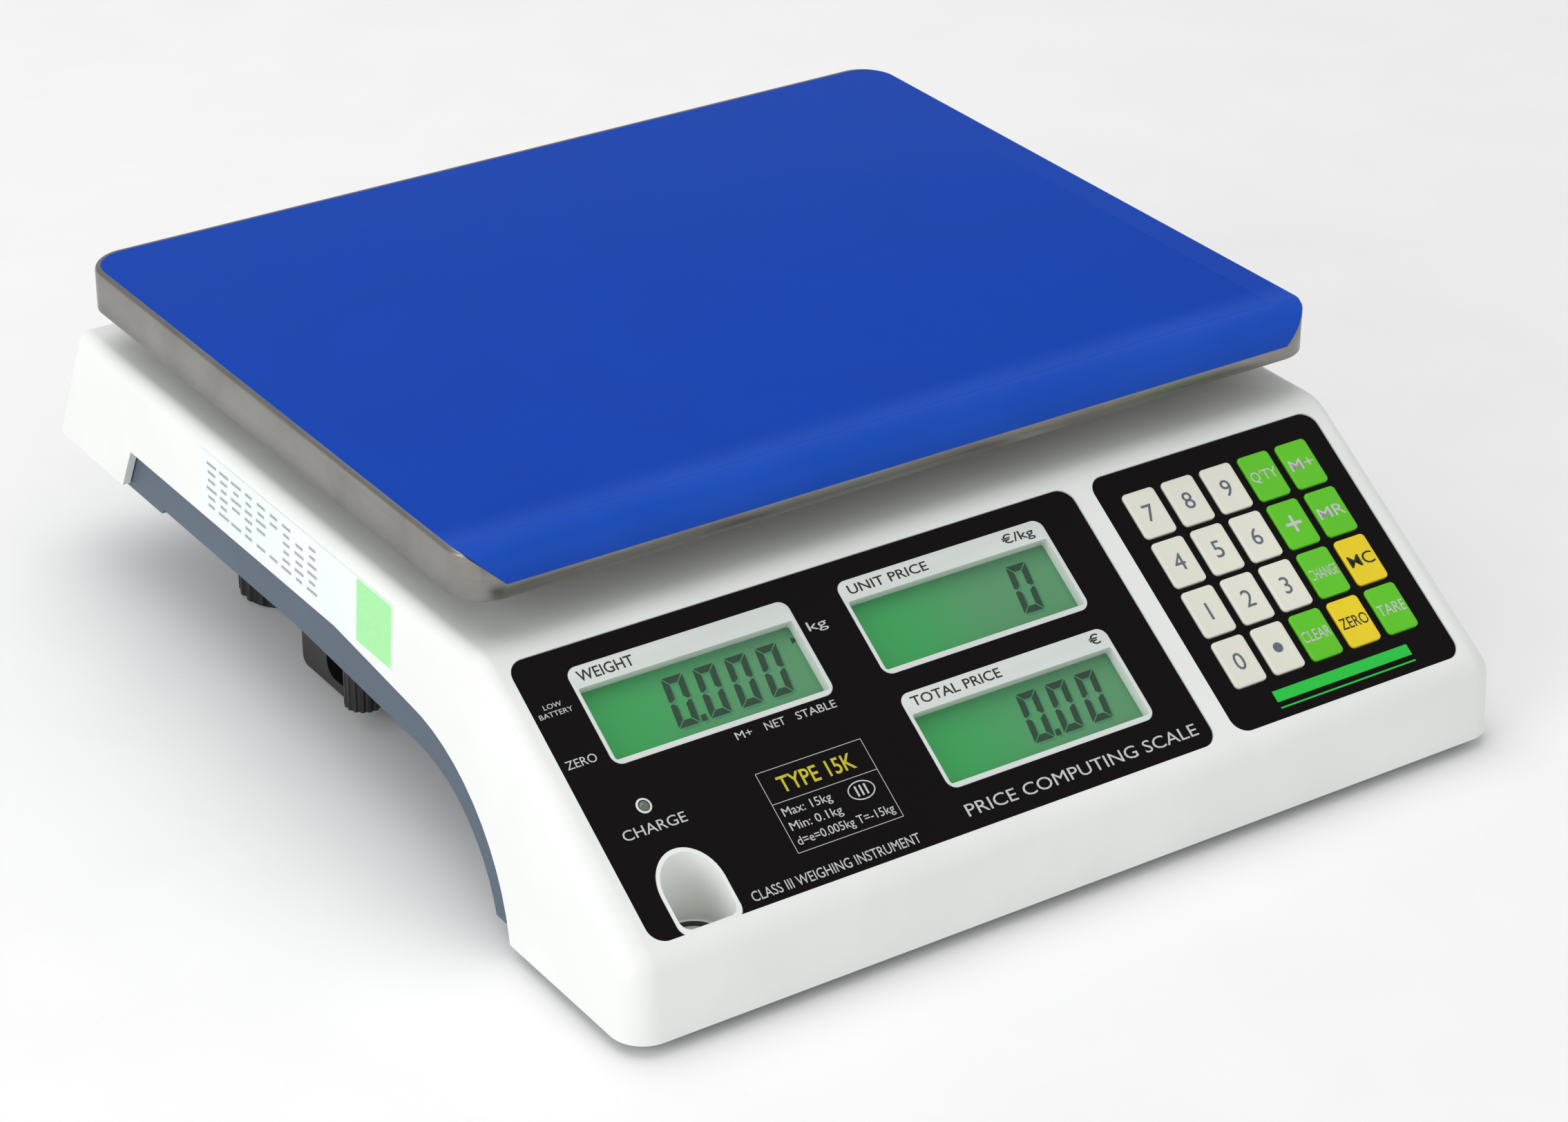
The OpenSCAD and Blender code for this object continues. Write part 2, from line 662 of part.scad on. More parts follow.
module lcd(f) color([0.3, 0.6, 0.4]) on_panel(f[0], f[1] + window_dv) {
    plate(lcd_w, lcd_h, 0.5, -window_deep - glass_t, -window_deep);
    plate(lcd_w - 1, lcd_h - 1, 0.5, -lcd_back, -window_deep - glass_t + eps);
}
module display_board() color("darkgreen") difference() {
    union() {
        on_panel(display_x, upper_v) plate(display_w - 14, frame_h + 4, 1, -lcd_back - board_t, -lcd_back);
        on_panel(price_x, lower_v) plate(frame_w + 8, frame_h + 12, 1, -lcd_back - board_t, -lcd_back);
    }
    on_panel(led_x, led_v) translate([0, 0, -lcd_back - 3]) cylinder(r = 0.6, h = 4, $fn = 16);
}
module charge_led() color([0.3, 0.35, 0.3]) on_panel(led_x, led_v) {
    translate([0, 0, -6]) cylinder(r = led_r, h = 5.9, $fn = 32);
    translate([0, 0, -6.6]) cylinder(r = 2, h = 0.7, $fn = 32);
}
module level_vial() color(black) translate([level_x, level_y, level_top - level_h]) difference() {
    cylinder(r = vial_r, h = level_h, $fn = 64);
    translate([0, 0, 1.5]) cylinder(r = vial_r - 1.6, h = level_h, $fn = 64);
}
module level_glass() color([0.6, 0.7, 0.6, 0.5]) translate([level_x, level_y, level_top - level_h + 1.5])
    cylinder(r = vial_r - 1.6, h = level_h - 2, $fn = 64);

module customer_overlay() color(black) difference() {
    on_rear(0, customer_v) plate(customer_w, customer_h, overlay_r, -recess, -lip);
    for (i = [-1:1]) on_rear(i * customer_dx, customer_v)
        plate(customer_window_w, customer_window_h, 1, -2, 1);
}
module customer_lcds() color([0.3, 0.6, 0.4]) for (i = [-1:1]) on_rear(i * customer_dx, customer_v)
    plate(customer_window_w + 6, customer_window_h + 5, 0.5,
          -customer_lcd_deep - glass_t - light_t, -customer_lcd_deep);

module keypad_overlay() color(black) difference() {
    on_panel(keypad_x, panel_l / 2) plate(keypad_w, panel_l, overlay_r, -overlay_t, 0);
    for (i = [0:19]) on_panel(key_pos(i)[0], key_pos(i)[1])
        plate(key_w + 2 * key_gap, key_h + 2 * key_gap, key_r + key_gap, -2, 1);
}
module key(i) color(KEY_COLOURS[i]) on_panel(key_pos(i)[0], key_pos(i)[1]) {
    plate(key_w, key_h, key_r, flange_w0, key_up);
    plate(key_w + 2 * flange, key_h + 2 * flange, key_r, flange_w0, flange_w1);
}
// A sheet behind the keys, notched round the screw boss at the front corner.
module behind_keys(w0, w1) difference() {
    on_panel(keypad_x, pad_v) plate(pad_w + 8, pad_h + 6, 2, w0, w1);
    translate([screw_x, SCREWS[2][0], 0]) cylinder(r = screw_boss_r + 0.5, h = deck_z, $fn = 32);
}
module keypad_membrane() color("lightgray") behind_keys(membrane_w - membrane_t, membrane_w);
module keypad_board() color("darkgreen")
    behind_keys(membrane_w - membrane_t - board_t, membrane_w - membrane_t);

// The board with two chips, two capacitors and a connector.
module main_board() color("darkgreen") translate([board_x, board_y, floor_z + board_post_h]) {
    cube([board_l, board_w, board_t]);
    translate([12, 18, board_t - eps]) cube([18, 18, 3]);
    translate([57, 13, board_t - eps]) cube([24, 14, 4]);
    translate([62, 48, board_t - eps]) cylinder(r = 6, h = 14, $fn = 32);
    translate([78, 48, board_t - eps]) cylinder(r = 5, h = 12, $fn = 32);
    translate([8, 62, board_t - eps]) cube([30, 6, 8]);
}
// Foot plate, core and winding.
module transformer() color("dimgray") translate([transformer_x, transformer_y, floor_z]) {
    cube([52, 44, 4]);
    translate([6, 2, 4 - eps]) cube([40, 40, 36]);
    translate([2, 8, 9]) cube([48, 28, 22]);
}
// The battery on its side, with its two tabs.
module battery() color([0.15, 0.15, 0.2]) translate([-battery_l / 2, pan_y + 31, floor_z]) {
    cube([battery_l, battery_w, battery_h]);
    for (z = tab_zs) translate([-6, 16, z - 2.4]) cube([6 + eps, 0.8, 4.8]);
}
module power_inlet() color(black) difference() {
    union() {
        translate([inlet_x, inlet_y - inlet_w / 2, inlet_z0 + 3])
            cube([-belly_rear_w / 2 - inlet_x, inlet_w, base_edge_z - inlet_z0 - 3]);
        translate([inlet_x, inlet_y, inlet_z0]) rotate([90, 0, 90])
            translate([0, 5, 0]) linear_extrude(height = -belly_rear_w / 2 - inlet_x) rrect(inlet_w, 10, 3);
        translate([-belly_rear_w / 2 - eps, inlet_y - 10.5, belly_z + 8.5]) cube([12, 21, 17]);
    }
    translate([inlet_x - 1, socket_y, socket_z]) rotate([90, 0, 90])
        linear_extrude(height = socket_deep + 1) rrect(socket_w, socket_h, 4.5);
    inlet_pin_pair(pin_r + thread_gap);
}
module inlet_pin_pair(r) {
    for (i = [-1, 1]) translate([inlet_x + 5, socket_y, socket_z + i * pin_apart / 2]) rotate([0, 90, 0])
        cylinder(r = r, h = socket_deep + 4, $fn = 24);
}
module inlet_pins() color("silver") inlet_pin_pair(pin_r);
module fuse_cap() color(black) translate([fuse_x, fuse_y, skirt_z + 3]) difference() {
    union() {
        cylinder(r = fuse_r, h = base_edge_z - skirt_z - 3 - 0.3, $fn = 48);
        cylinder(r = fuse_neck_r, h = base_edge_z - skirt_z + 4, $fn = 48);
    }
    for (a = [0:22.5:359]) rotate([0, 0, a]) translate([fuse_r + 0.3, 0, -1])
        cylinder(r = 0.8, h = 13, $fn = 16);
}
module switch_case() color(black) difference() {
    union() {
        translate([switch_x, switch_y - 11.5, switch_z - 8.5]) cube([1.6, 23, 17]);
        translate([switch_x - 16, switch_y - 10, switch_z - 7]) cube([16 + eps, 20, 14]);
    }
    translate([switch_x - 12, switch_y - rocker_r - 0.3, switch_z - rocker_w / 2 - 0.3])
        cube([15, 2 * rocker_r + 0.6, rocker_w + 0.6]);
}
// The rocker: a disc about its pivot, cut to two flats that meet in a shallow V.
module switch_rocker() color([0.6, 0.1, 0.1]) translate([switch_x - rocker_deep, switch_y, switch_z])
    rotate([0, 0, -rocker_tilt]) intersection() {
        translate([0, 0, -rocker_w / 2]) cylinder(r = rocker_r, h = rocker_w, $fn = 48);
        translate([0, 0, -rocker_w / 2]) linear_extrude(height = rocker_w)
            polygon([[-7, -4], [-7, 4], [0, rocker_r + 1], [5.5 + 1.3, rocker_r + 1], [5.5, 0],
                     [5.5 + 1.3, -rocker_r - 1], [0, -rocker_r - 1]]);
    }
module rating_label() color("white") translate([-side_x(label_z) - eps, label_y, label_z])
    rotate([0, draft, 0]) translate([-label_t, -label_l / 2, -label_h / 2])
        cube([label_t, label_l, label_h]);

pan();
pan_film();
pan_spider();
pan_cushions();
platform_bolts();
load_cell();
cell_spacer();
cell_bolts();
overload_stop();
upper_housing();
base();
base_screws();
foot_inserts();
foot(FEET[0]);  // foot_front_left
foot(FEET[1]);  // foot_front_right
foot(FEET[2]);  // foot_rear_left
foot(FEET[3]);  // foot_rear_right
display_overlay();
display_frames();
lcd(FRAMES[0]);  // weight_lcd
lcd(FRAMES[1]);  // unit_price_lcd
lcd(FRAMES[2]);  // total_price_lcd
display_board();
charge_led();
level_vial();
level_glass();
keypad_overlay();
keypad_membrane();
keypad_board();
customer_overlay();
customer_lcds();
main_board();
transformer();
battery();
power_inlet();
inlet_pins();
fuse_cap();
switch_case();
switch_rocker();
rating_label();
for (i = [0:19]) key(i);
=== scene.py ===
"""Looks of a counter scale that weighs goods and works out their price, built on its fixed frame."""

import json
import math

import bmesh
import bpy
from bpy.props import FloatProperty, FloatVectorProperty, IntProperty, PointerProperty, StringProperty
from mathutils import Matrix, Vector


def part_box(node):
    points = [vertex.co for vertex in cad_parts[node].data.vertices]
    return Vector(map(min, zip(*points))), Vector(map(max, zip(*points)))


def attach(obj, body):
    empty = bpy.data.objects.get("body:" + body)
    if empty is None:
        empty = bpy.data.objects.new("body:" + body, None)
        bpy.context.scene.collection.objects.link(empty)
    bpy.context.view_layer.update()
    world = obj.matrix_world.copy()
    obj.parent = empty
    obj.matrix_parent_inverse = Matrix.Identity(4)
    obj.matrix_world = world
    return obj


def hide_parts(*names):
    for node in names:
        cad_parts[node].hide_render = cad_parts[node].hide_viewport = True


bl_info = {
    "name": "Price Computing Scale",
    "version": (1, 0, 0),
    "blender": (4, 5, 0),
    "location": "View3D > Sidebar > Scale",
    "description": "Builds the visible pieces of a counter scale on its fixed frame",
    "category": "Add Mesh",
}

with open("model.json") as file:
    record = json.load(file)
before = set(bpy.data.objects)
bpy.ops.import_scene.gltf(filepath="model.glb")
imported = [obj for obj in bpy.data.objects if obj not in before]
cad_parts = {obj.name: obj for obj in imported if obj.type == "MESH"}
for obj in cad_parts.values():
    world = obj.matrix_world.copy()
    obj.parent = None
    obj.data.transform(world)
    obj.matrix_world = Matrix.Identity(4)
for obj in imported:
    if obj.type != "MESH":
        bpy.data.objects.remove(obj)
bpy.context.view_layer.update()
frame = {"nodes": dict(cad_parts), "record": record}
MM = 0.001


def length(name, about, millimetres):
    return FloatProperty(name=name, description=about, default=millimetres * MM, unit="LENGTH", precision=5)


def angle(name, about, degrees):
    return FloatProperty(name=name, description=about, default=math.radians(degrees), subtype="ANGLE")


def watts(name, about, power):
    return FloatProperty(name=name, description=about, default=power, unit="POWER")


def paint(name, about, red, green, blue):
    """A colour property whose default is given as display values from 0 to 255."""
    linear = [(v / 255) ** 2.2 for v in (red, green, blue)]
    return FloatVectorProperty(
        name=name, description=about, default=linear, subtype="COLOR", size=3, min=0, max=1)


class ScaleSizes(bpy.types.PropertyGroup):
    """Sizes of the pieces that are added to the frame."""

    pan_corner: length("Pan corner", "Radius of the pan's corners in plan", 12)
    front_bend: length("Front bend", "Outside radius of the pan's front edge", 10)
    side_fold: length("Side fold", "Outside radius of the pan's other edges", 2)
    pan_sheet: length("Pan sheet", "Thickness of the pan's steel", 1)
    film: length("Film", "Thickness of the protective film", 0.3)
    film_inset: length("Film inset", "Bare steel beside the film", 1.2)
    slope: angle("Panel slope", "Angle of the control panel above level", 33.4)
    rear_lean: angle("Rear lean", "Angle of the customer side from upright", 23.5)
    label_lean: angle("Label lean", "Draft of the side wall under the label", 3)
    ink: length("Ink", "Height of printed lettering above its surface", 0.04)
    key_width: length("Key width", "Width of a key", 11.5)
    key_height: length("Key height", "Length of a key up the slope", 15.6)
    key_corner: length("Key corner", "Corner radius of a key", 1.4)
    key_edge: length("Key edge", "Rounding round the top of a key", 0.35)
    digit_height: length("Digit height", "Height of a display digit", 15.4)
    digit_width: length("Digit width", "Width of a display digit", 6.8)
    digit_pitch: length("Digit pitch", "Distance from one digit to the next", 10.2)
    digit_stroke: length("Digit stroke", "Width of a display segment", 2.0)
    digit_slant: angle("Digit slant", "Lean of the display digits", 8)
    lamp_ring: length("Lamp ring", "Outside radius of the ring round the charge lamp", 2.3)
    bubble: length("Bubble", "Radius of the spirit level's bubble", 2.3)


class ScaleColours(bpy.types.PropertyGroup):
    """Colours of the finishes."""

    housing: paint("Housing", "Moulded upper housing", 233, 236, 233)
    base: paint("Base", "Moulded base", 78, 93, 108)
    film: paint("Film", "Protective film on the pan", 6, 66, 172)
    steel: paint("Steel", "Stainless steel of the pan", 146, 143, 139)
    panel: paint("Panel", "Printed overlays", 20, 17, 18)
    rim: paint("Display rim", "Rims round the display windows", 214, 220, 216)
    ivory: paint("Number keys", "Number keys", 226, 226, 212)
    green: paint("Green keys", "Function keys", 92, 196, 26)
    yellow: paint("Yellow keys", "Clearing keys", 236, 208, 24)
    digit: paint("Number ink", "Lettering on the number keys", 92, 102, 112)
    white_ink: paint("White ink", "Light lettering", 196, 198, 196)
    dark_ink: paint("Dark ink", "Dark lettering", 30, 32, 32)
    heading: paint("Heading ink", "Heading of the capacity box", 196, 186, 40)
    stripe: paint("Stripe", "Stripe under the keys", 20, 196, 60)
    glow: paint("Lit glass", "Brighter part of a display", 46, 152, 78)
    glass: paint("Plain glass", "Greyer part of a display", 80, 138, 96)
    segment: paint("Segment", "Display segments", 38, 68, 50)
    patch: paint("Label patch", "Square patch on the side label", 160, 232, 160)
    floor: paint("Floor", "Plain floor", 250, 250, 250)


class ScaleStage(bpy.types.PropertyGroup):
    """Camera and light."""

    lens: FloatProperty(name="Lens", description="Focal length in millimetres", default=96.74)
    key_power: watts("Main light", "Power of the large light above", 13)
    fill_power: watts("Fill light", "Power of the light from the left", 14)
    front_power: watts("Front light", "Power of the light from the front", 3.5)
    sky: FloatProperty(name="Surround", description="Strength of the even light all round", default=0.56)
    seed: IntProperty(name="Seed", description="Seed of the small print's random lengths", default=7, min=0)


def sizes():
    return bpy.context.scene.scale_sizes


def colours():
    return bpy.context.scene.scale_colours


# Node trees


class Wire:
    """A node's output that takes part in arithmetic; each operation adds its Math node."""

    def __init__(self, tree, socket):
        self.tree, self.socket = tree, socket

    def _math(self, operation, first, second):
        return self.tree.node("ShaderNodeMath", {"operation": operation}, {0: first, 1: second})

    def __add__(self, other):
        return self._math("ADD", self, other)

    __radd__ = __add__

    def __sub__(self, other):
        return self._math("SUBTRACT", self, other)

    def __rsub__(self, other):
        return self._math("SUBTRACT", other, self)

    def __mul__(self, other):
        return self._math("MULTIPLY", self, other)

    __rmul__ = __mul__

    def __truediv__(self, other):
        return self._math("DIVIDE", self, other)


class Tree:
    """Adds nodes to a node tree and links them."""

    def __init__(self, tree):
        self.tree = tree

    def node(self, kind, settings=None, sockets=None, output=0):
        """Adds a node with its settings, feeds its sockets by name or number, and gives one output."""
        made = self.tree.nodes.new(kind)
        for name, value in (settings or {}).items():
            setattr(made, name, value)
        for key, value in (sockets or {}).items():
            self.feed(made.inputs[key], value)
        return Wire(self, made.outputs[output])

    def feed(self, socket, value):
        if isinstance(value, Wire):
            self.tree.links.new(value.socket, socket)
        elif socket.type == "RGBA":
            socket.default_value = opaque(value)
        else:
            socket.default_value = value


def opaque(colour):
    return (*tuple(colour)[:3], 1.0)


class Finish(Tree):
    """A material made of nodes, read in the frame's own coordinates."""

    def __init__(self, name):
        self.material = bpy.data.materials.new(name)
        self.material.use_nodes = True
        super().__init__(self.material.node_tree)
        self.tree.nodes.clear()
        self.shader = self.tree.nodes.new("ShaderNodeBsdfPrincipled")
        end = self.tree.nodes.new("ShaderNodeOutputMaterial")
        self.tree.links.new(self.shader.outputs[0], end.inputs["Surface"])
        self.place = self.node("ShaderNodeTexCoord", output="Object")

    def along(self, location=(0, 0, 0), rotation=(0, 0, 0), scale=(1, 1, 1)):
        return self.node("ShaderNodeMapping", {}, {
            "Vector": self.place, "Location": location, "Rotation": rotation, "Scale": scale})

    def noise(self, size, detail=2.0, rough=0.5, vector=None, warp=0.0):
        """Cloudy noise whose lumps are about one size, in metres."""
        return self.node("ShaderNodeTexNoise", {}, {
            "Vector": vector or self.place, "Scale": 1 / size, "Detail": detail,
            "Roughness": rough, "Distortion": warp})

    def between(self, wire, low, high):
        """The wire's values from low to high, spread over 0 to 1."""
        return self.node("ShaderNodeMapRange", {"interpolation_type": "SMOOTHSTEP"}, {
            "Value": wire, "From Min": low, "From Max": high})

    def mix(self, factor, first, second, blend="MIX"):
        return self.node("ShaderNodeMix", {"data_type": "RGBA", "blend_type": blend}, {
            0: factor, 6: first, 7: second}, output=2)

    def bump(self, height, depth, strength=1.0):
        self.feed(self.shader.inputs["Normal"], self.node("ShaderNodeBump", {}, {
            "Height": height, "Distance": depth, "Strength": strength}, output="Normal"))

    def surface(self, **sockets):
        """Feeds the shader's sockets and gives the material."""
        for name, value in sockets.items():
            self.feed(self.shader.inputs[name.replace("_", " ")], value)
        return self.material


def shaded(colour, factor):
    return tuple(min(1.0, v * factor) for v in tuple(colour)[:3])


# Finishes, each made once and named for its material


def moulded(name, colour, gloss, grain, depth, blotch=0.06, coat=0.0):
    """Moulded plastic: a fine spark-eroded grain with a faint unevenness in shade and shine."""
    f = Finish(name)
    fine = f.noise(grain, detail=3, rough=0.6)
    broad = f.noise(0.045, detail=3, warp=0.4)
    shade = f.mix(f.between(broad, 0.35, 0.7), shaded(colour, 1 - blotch), shaded(colour, 1 + blotch / 2))
    shade = f.mix(f.between(fine, 0.62, 0.8) * 0.10, shade, shaded(colour, 0.7))
    f.bump(fine, depth)
    return f.surface(Base_Color=shade, Roughness=gloss + 0.16 * (fine - 0.5) + 0.12 * (broad - 0.5),
                     Coat_Weight=coat, Coat_Roughness=0.25)


def brushed(name, colour, gloss, streak=(18, 18, 1500), depth=2e-6, metallic=1.0):
    """Metal with fine lines along one way and clouded polish."""
    f = Finish(name)
    lines = f.noise(1.0, detail=4, rough=0.65, vector=f.along(scale=streak))
    cloud = f.noise(0.03, detail=4, warp=0.6)
    shade = f.mix(lines, shaded(colour, 0.72), shaded(colour, 1.12))
    shade = f.mix(f.between(cloud, 0.45, 0.75) * 0.5, shade, shaded(colour, 0.62))
    f.bump(lines, depth)
    return f.surface(Base_Color=shade, Metallic=metallic,
                     Roughness=gloss + 0.2 * (lines - 0.5) + 0.1 * (cloud - 0.5))


def cast(name, colour, gloss=0.5, grain=0.0008, depth=4e-5):
    """Cast metal with a sandy skin."""
    f = Finish(name)
    sand = f.node("ShaderNodeTexVoronoi", {"feature": "SMOOTH_F1"}, {"Vector": f.place, "Scale": 1 / grain})
    cloud = f.noise(0.012, detail=4)
    f.bump(sand, depth, 0.6)
    return f.surface(Base_Color=f.mix(cloud, shaded(colour, 0.8), shaded(colour, 1.1)),
                     Metallic=0.9, Roughness=gloss + 0.2 * (cloud - 0.5))


def film_finish():
    """Thin blue plastic film: specks under it, and a painted highlight that makes its front bend paler and
    cloudy.
    """
    c = colours().film
    f = Finish("blue_film")
    low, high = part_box("pan_film")
    where = f.node("ShaderNodeSeparateXYZ", {}, {0: f.place}, output="Y")
    cloud = f.noise(0.05, detail=4, warp=0.8)
    specks = f.noise(0.0006, detail=2, rough=0.7)
    # Painted highlight: towards the front bend the film is mixed to a paler, cloudy blue, as where the light
    # falls on it.
    front = 1 - f.between(where, low.y + 9 * MM, low.y + 22 * MM)
    shade = f.mix(cloud, shaded(c, 0.92), shaded(c, 1.08))
    shade = f.mix(front * 0.30 + front * cloud * 0.25, shade, (0.030, 0.110, 0.560))
    shade = f.mix(f.between(specks, 0.58, 0.75) * 0.25, shade, shaded(c, 1.6))
    ripple = f.noise(0.02, detail=3)
    f.bump(specks * 0.35 + ripple, 5e-5)
    return f.surface(Base_Color=shade, Roughness=0.36 + 0.14 * (cloud - 0.5) + 0.1 * (specks - 0.5),
                     Specular_IOR_Level=0.05)


def overlay_finish():
    """Matt printed polyester with a fine texture."""
    c = colours().panel
    f = Finish("panel_film")
    fine = f.noise(0.00035, detail=3, rough=0.7)
    broad = f.noise(0.04, detail=3)
    f.bump(fine, 1.2e-5)
    return f.surface(Base_Color=f.mix(f.between(fine, 0.5, 0.8) * 0.4, c, shaded(c, 2.2)),
                     Roughness=0.42 + 0.14 * (broad - 0.5) + 0.1 * (fine - 0.5), Specular_IOR_Level=0.08)


def lit_glass(name, wide):
    """Display glass over a green light, brightest at the left and greyer to the right, with a painted shadow
    that darkens its top.
    """
    f = Finish(name)
    low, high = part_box(name)
    lean, rise = math.cos(sizes().slope), math.sin(sizes().slope)
    parts = f.node("ShaderNodeVectorMath", {"operation": "DOT_PRODUCT"}, {
        0: f.along(location=(-low.x / 2 - high.x / 2, 0, 0)), 1: (1 / wide, 0, 0)}, output="Value")
    up = f.node("ShaderNodeVectorMath", {"operation": "DOT_PRODUCT"}, {
        0: f.place, 1: (0, lean, rise)}, output="Value")
    foot = low.y * lean + low.z * rise
    top = high.y * lean + high.z * rise
    cloud = f.noise(0.02, detail=2)
    right = f.between(parts + 0.25 * (cloud - 0.5), -0.42, 0.30)
    shade = f.mix(right, colours().glow, colours().glass)
    # Painted shadow: the top part of the glass, under the rim, is mixed towards dark green.
    shade = f.mix(f.between(up, foot + 0.55 * (top - foot), top) * 0.45, shade, (0.035, 0.16, 0.08))
    grain = f.noise(0.0005, detail=2)
    f.bump(grain, 4e-6)
    return f.surface(Base_Color=shade, Roughness=0.32 + 0.1 * (grain - 0.5), Coat_Weight=0.3,
                     Coat_Roughness=0.08, Emission_Color=shade, Emission_Strength=0.08)


def board_finish():
    """Green solder mask with copper tracks under it."""
    f = Finish("circuit_board")
    tracks = f.node("ShaderNodeTexBrick", {"offset": 0.4}, {
        "Vector": f.place, "Scale": 160.0, "Mortar Size": 0.03, "Color1": (0.010, 0.120, 0.035, 1),
        "Color2": (0.008, 0.095, 0.030, 1), "Mortar": (0.04, 0.22, 0.08, 1)})
    grain = f.noise(0.0012)
    f.bump(grain, 1e-5)
    return f.surface(Base_Color=f.mix(grain * 0.3, tracks, (0.03, 0.16, 0.05)), Roughness=0.3 + 0.1 * grain)


def vial_finish():
    """Pale green spirit under glass, seen as a cloudy disc."""
    f = Finish("vial_glass")
    depth = f.noise(0.004, detail=2)
    return f.surface(Base_Color=f.mix(depth, (0.50, 0.56, 0.42), (0.72, 0.76, 0.62)),
                     Roughness=0.08 + 0.05 * depth, Coat_Weight=1.0, Coat_Roughness=0.03)


def paper_finish():
    """Coated label paper."""
    f = Finish("label")
    fibre = f.noise(0.0009, detail=4, rough=0.7)
    broad = f.noise(0.03, detail=2)
    f.bump(fibre, 8e-6)
    return f.surface(Base_Color=f.mix(broad, (0.74, 0.80, 0.80), (0.84, 0.88, 0.88)),
                     Roughness=0.5 + 0.15 * (fibre - 0.5))


def ink_finish(name, colour, gloss=0.45, metallic=0.0):
    """Screen-printed ink with slightly uneven cover."""
    f = Finish(name)
    cover = f.noise(0.0008, detail=3)
    f.bump(cover, 5e-6)
    return f.surface(Base_Color=f.mix(cover, shaded(colour, 0.88), shaded(colour, 1.06)),
                     Roughness=gloss + 0.15 * (cover - 0.5), Metallic=metallic)


def laminated():
    """Stacked core plates with wound copper showing at the ends."""
    f = Finish("iron")
    plates = f.node("ShaderNodeTexWave", {"bands_direction": "X"}, {
        "Vector": f.place, "Scale": 320.0, "Distortion": 0.3})
    rust = f.noise(0.01, detail=4)
    f.bump(plates, 4e-5)
    return f.surface(Base_Color=f.mix(rust * 0.4, (0.10, 0.10, 0.11), (0.20, 0.13, 0.08)), Metallic=0.7,
                     Roughness=0.45 + 0.1 * plates)


LCDS = ("weight_lcd", "unit_price_lcd", "total_price_lcd")
FINISHES = {}


def finish(name):
    """The finish of a material slot or an ink, made when it is first asked for."""
    c = colours()
    makers = {
        "stainless": lambda: brushed(name, c.steel, 0.34),
        "blue_film": film_finish,
        "cast_aluminium": lambda: cast(name, (0.50, 0.51, 0.53)),
        "machined_aluminium": lambda: brushed(name, (0.72, 0.73, 0.75), 0.3, streak=(1200, 30, 30)),
        "rubber": lambda: moulded(name, (0.028, 0.028, 0.03), 0.75, 0.0006, 3e-5),
        "plated_steel": lambda: brushed(name, (0.60, 0.60, 0.56), 0.28, streak=(300, 300, 300)),
        "brass": lambda: brushed(name, (0.68, 0.48, 0.18), 0.3, streak=(300, 300, 900)),
        "white_plastic": lambda: moulded(name, c.housing, 0.44, 0.0005, 1.6e-5, 0.03),
        "slate_plastic": lambda: moulded(name, c.base, 0.5, 0.0006, 3e-5, 0.08),
        "black_plastic": lambda: moulded(name, (0.012, 0.012, 0.013), 0.42, 0.0007, 2e-5, 0.2),
        "silver_plastic": lambda: moulded(name, c.rim, 0.3, 0.0004, 6e-6, 0.03, coat=0.3),
        "panel_film": overlay_finish,
        "lcd": lambda: lit_glass("customer_lcds", 0.244),
        **dict.fromkeys(LCDS, lambda: lit_glass(name, 0.0692)),
        "led_lens": lambda: moulded(name, (0.10, 0.13, 0.10), 0.2, 0.0004, 4e-6, 0.1, coat=0.8),
        "circuit_board": board_finish,
        "vial_glass": vial_finish,
        "iron": laminated,
        "battery_case": lambda: moulded(name, (0.09, 0.10, 0.12), 0.4, 0.0006, 1.5e-5),
        "red_plastic": lambda: moulded(name, (0.42, 0.025, 0.02), 0.3, 0.0006, 8e-6, coat=0.2),
        "label": paper_finish,
        "key_ivory": lambda: moulded(name, c.ivory, 0.38, 0.0004, 8e-6, 0.03),
        "key_green": lambda: moulded(name, c.green, 0.38, 0.0004, 8e-6, 0.04),
        "key_yellow": lambda: moulded(name, c.yellow, 0.38, 0.0004, 8e-6, 0.04),
        "number_ink": lambda: ink_finish(name, c.digit),
        "white_ink": lambda: ink_finish(name, c.white_ink),
        "dark_ink": lambda: ink_finish(name, c.dark_ink),
        "heading_ink": lambda: ink_finish(name, c.heading),
        "stripe_ink": lambda: ink_finish(name, c.stripe),
        "patch_ink": lambda: ink_finish(name, c.patch, 0.5),
        "grey_ink": lambda: ink_finish(name, (0.36, 0.39, 0.39), 0.55),
        "segment": lambda: ink_finish(name, c.segment, 0.4),
        "segment_shade": lambda: ink_finish(name, (0.055, 0.24, 0.11), 0.5),
        "floor": lambda: moulded(name, c.floor, 0.75, 0.004, 1e-5, 0.01),
        "solder": lambda: brushed(name, (0.62, 0.62, 0.60), 0.25, streak=(400, 400, 400)),
    }
    if name not in FINISHES:
        FINISHES[name] = makers[name]()
    return FINISHES[name]


SLOTS = {part["node"]: part["material_slot"] for part in frame["record"]["subparts"]}
BODIES = {node: body for body, nodes in frame["record"]["behaviour"]["bodies"].items() for node in nodes}


def node_finish(node):
    """The finish of a frame node: its own where it has one, or else its slot's."""
    return finish(node if node in LCDS else SLOTS[node])


# Mesh helpers


def add_piece(name, bm, look, body, stands_for=(), crease=30.0):
    """Turns a closed mesh into a named piece that rides on a body."""
    bmesh.ops.remove_doubles(bm, verts=bm.verts, dist=1e-7)
    bmesh.ops.recalc_face_normals(bm, faces=bm.faces)
    for face in bm.faces:
        face.smooth = True
    for edge in bm.edges:
        edge.smooth = len(edge.link_faces) == 2 and edge.calc_face_angle(0) < math.radians(crease)
    mesh = bpy.data.meshes.new(name)
    bm.to_mesh(mesh)
    bm.free()
    place_mesh(name, mesh, look, body, stands_for)


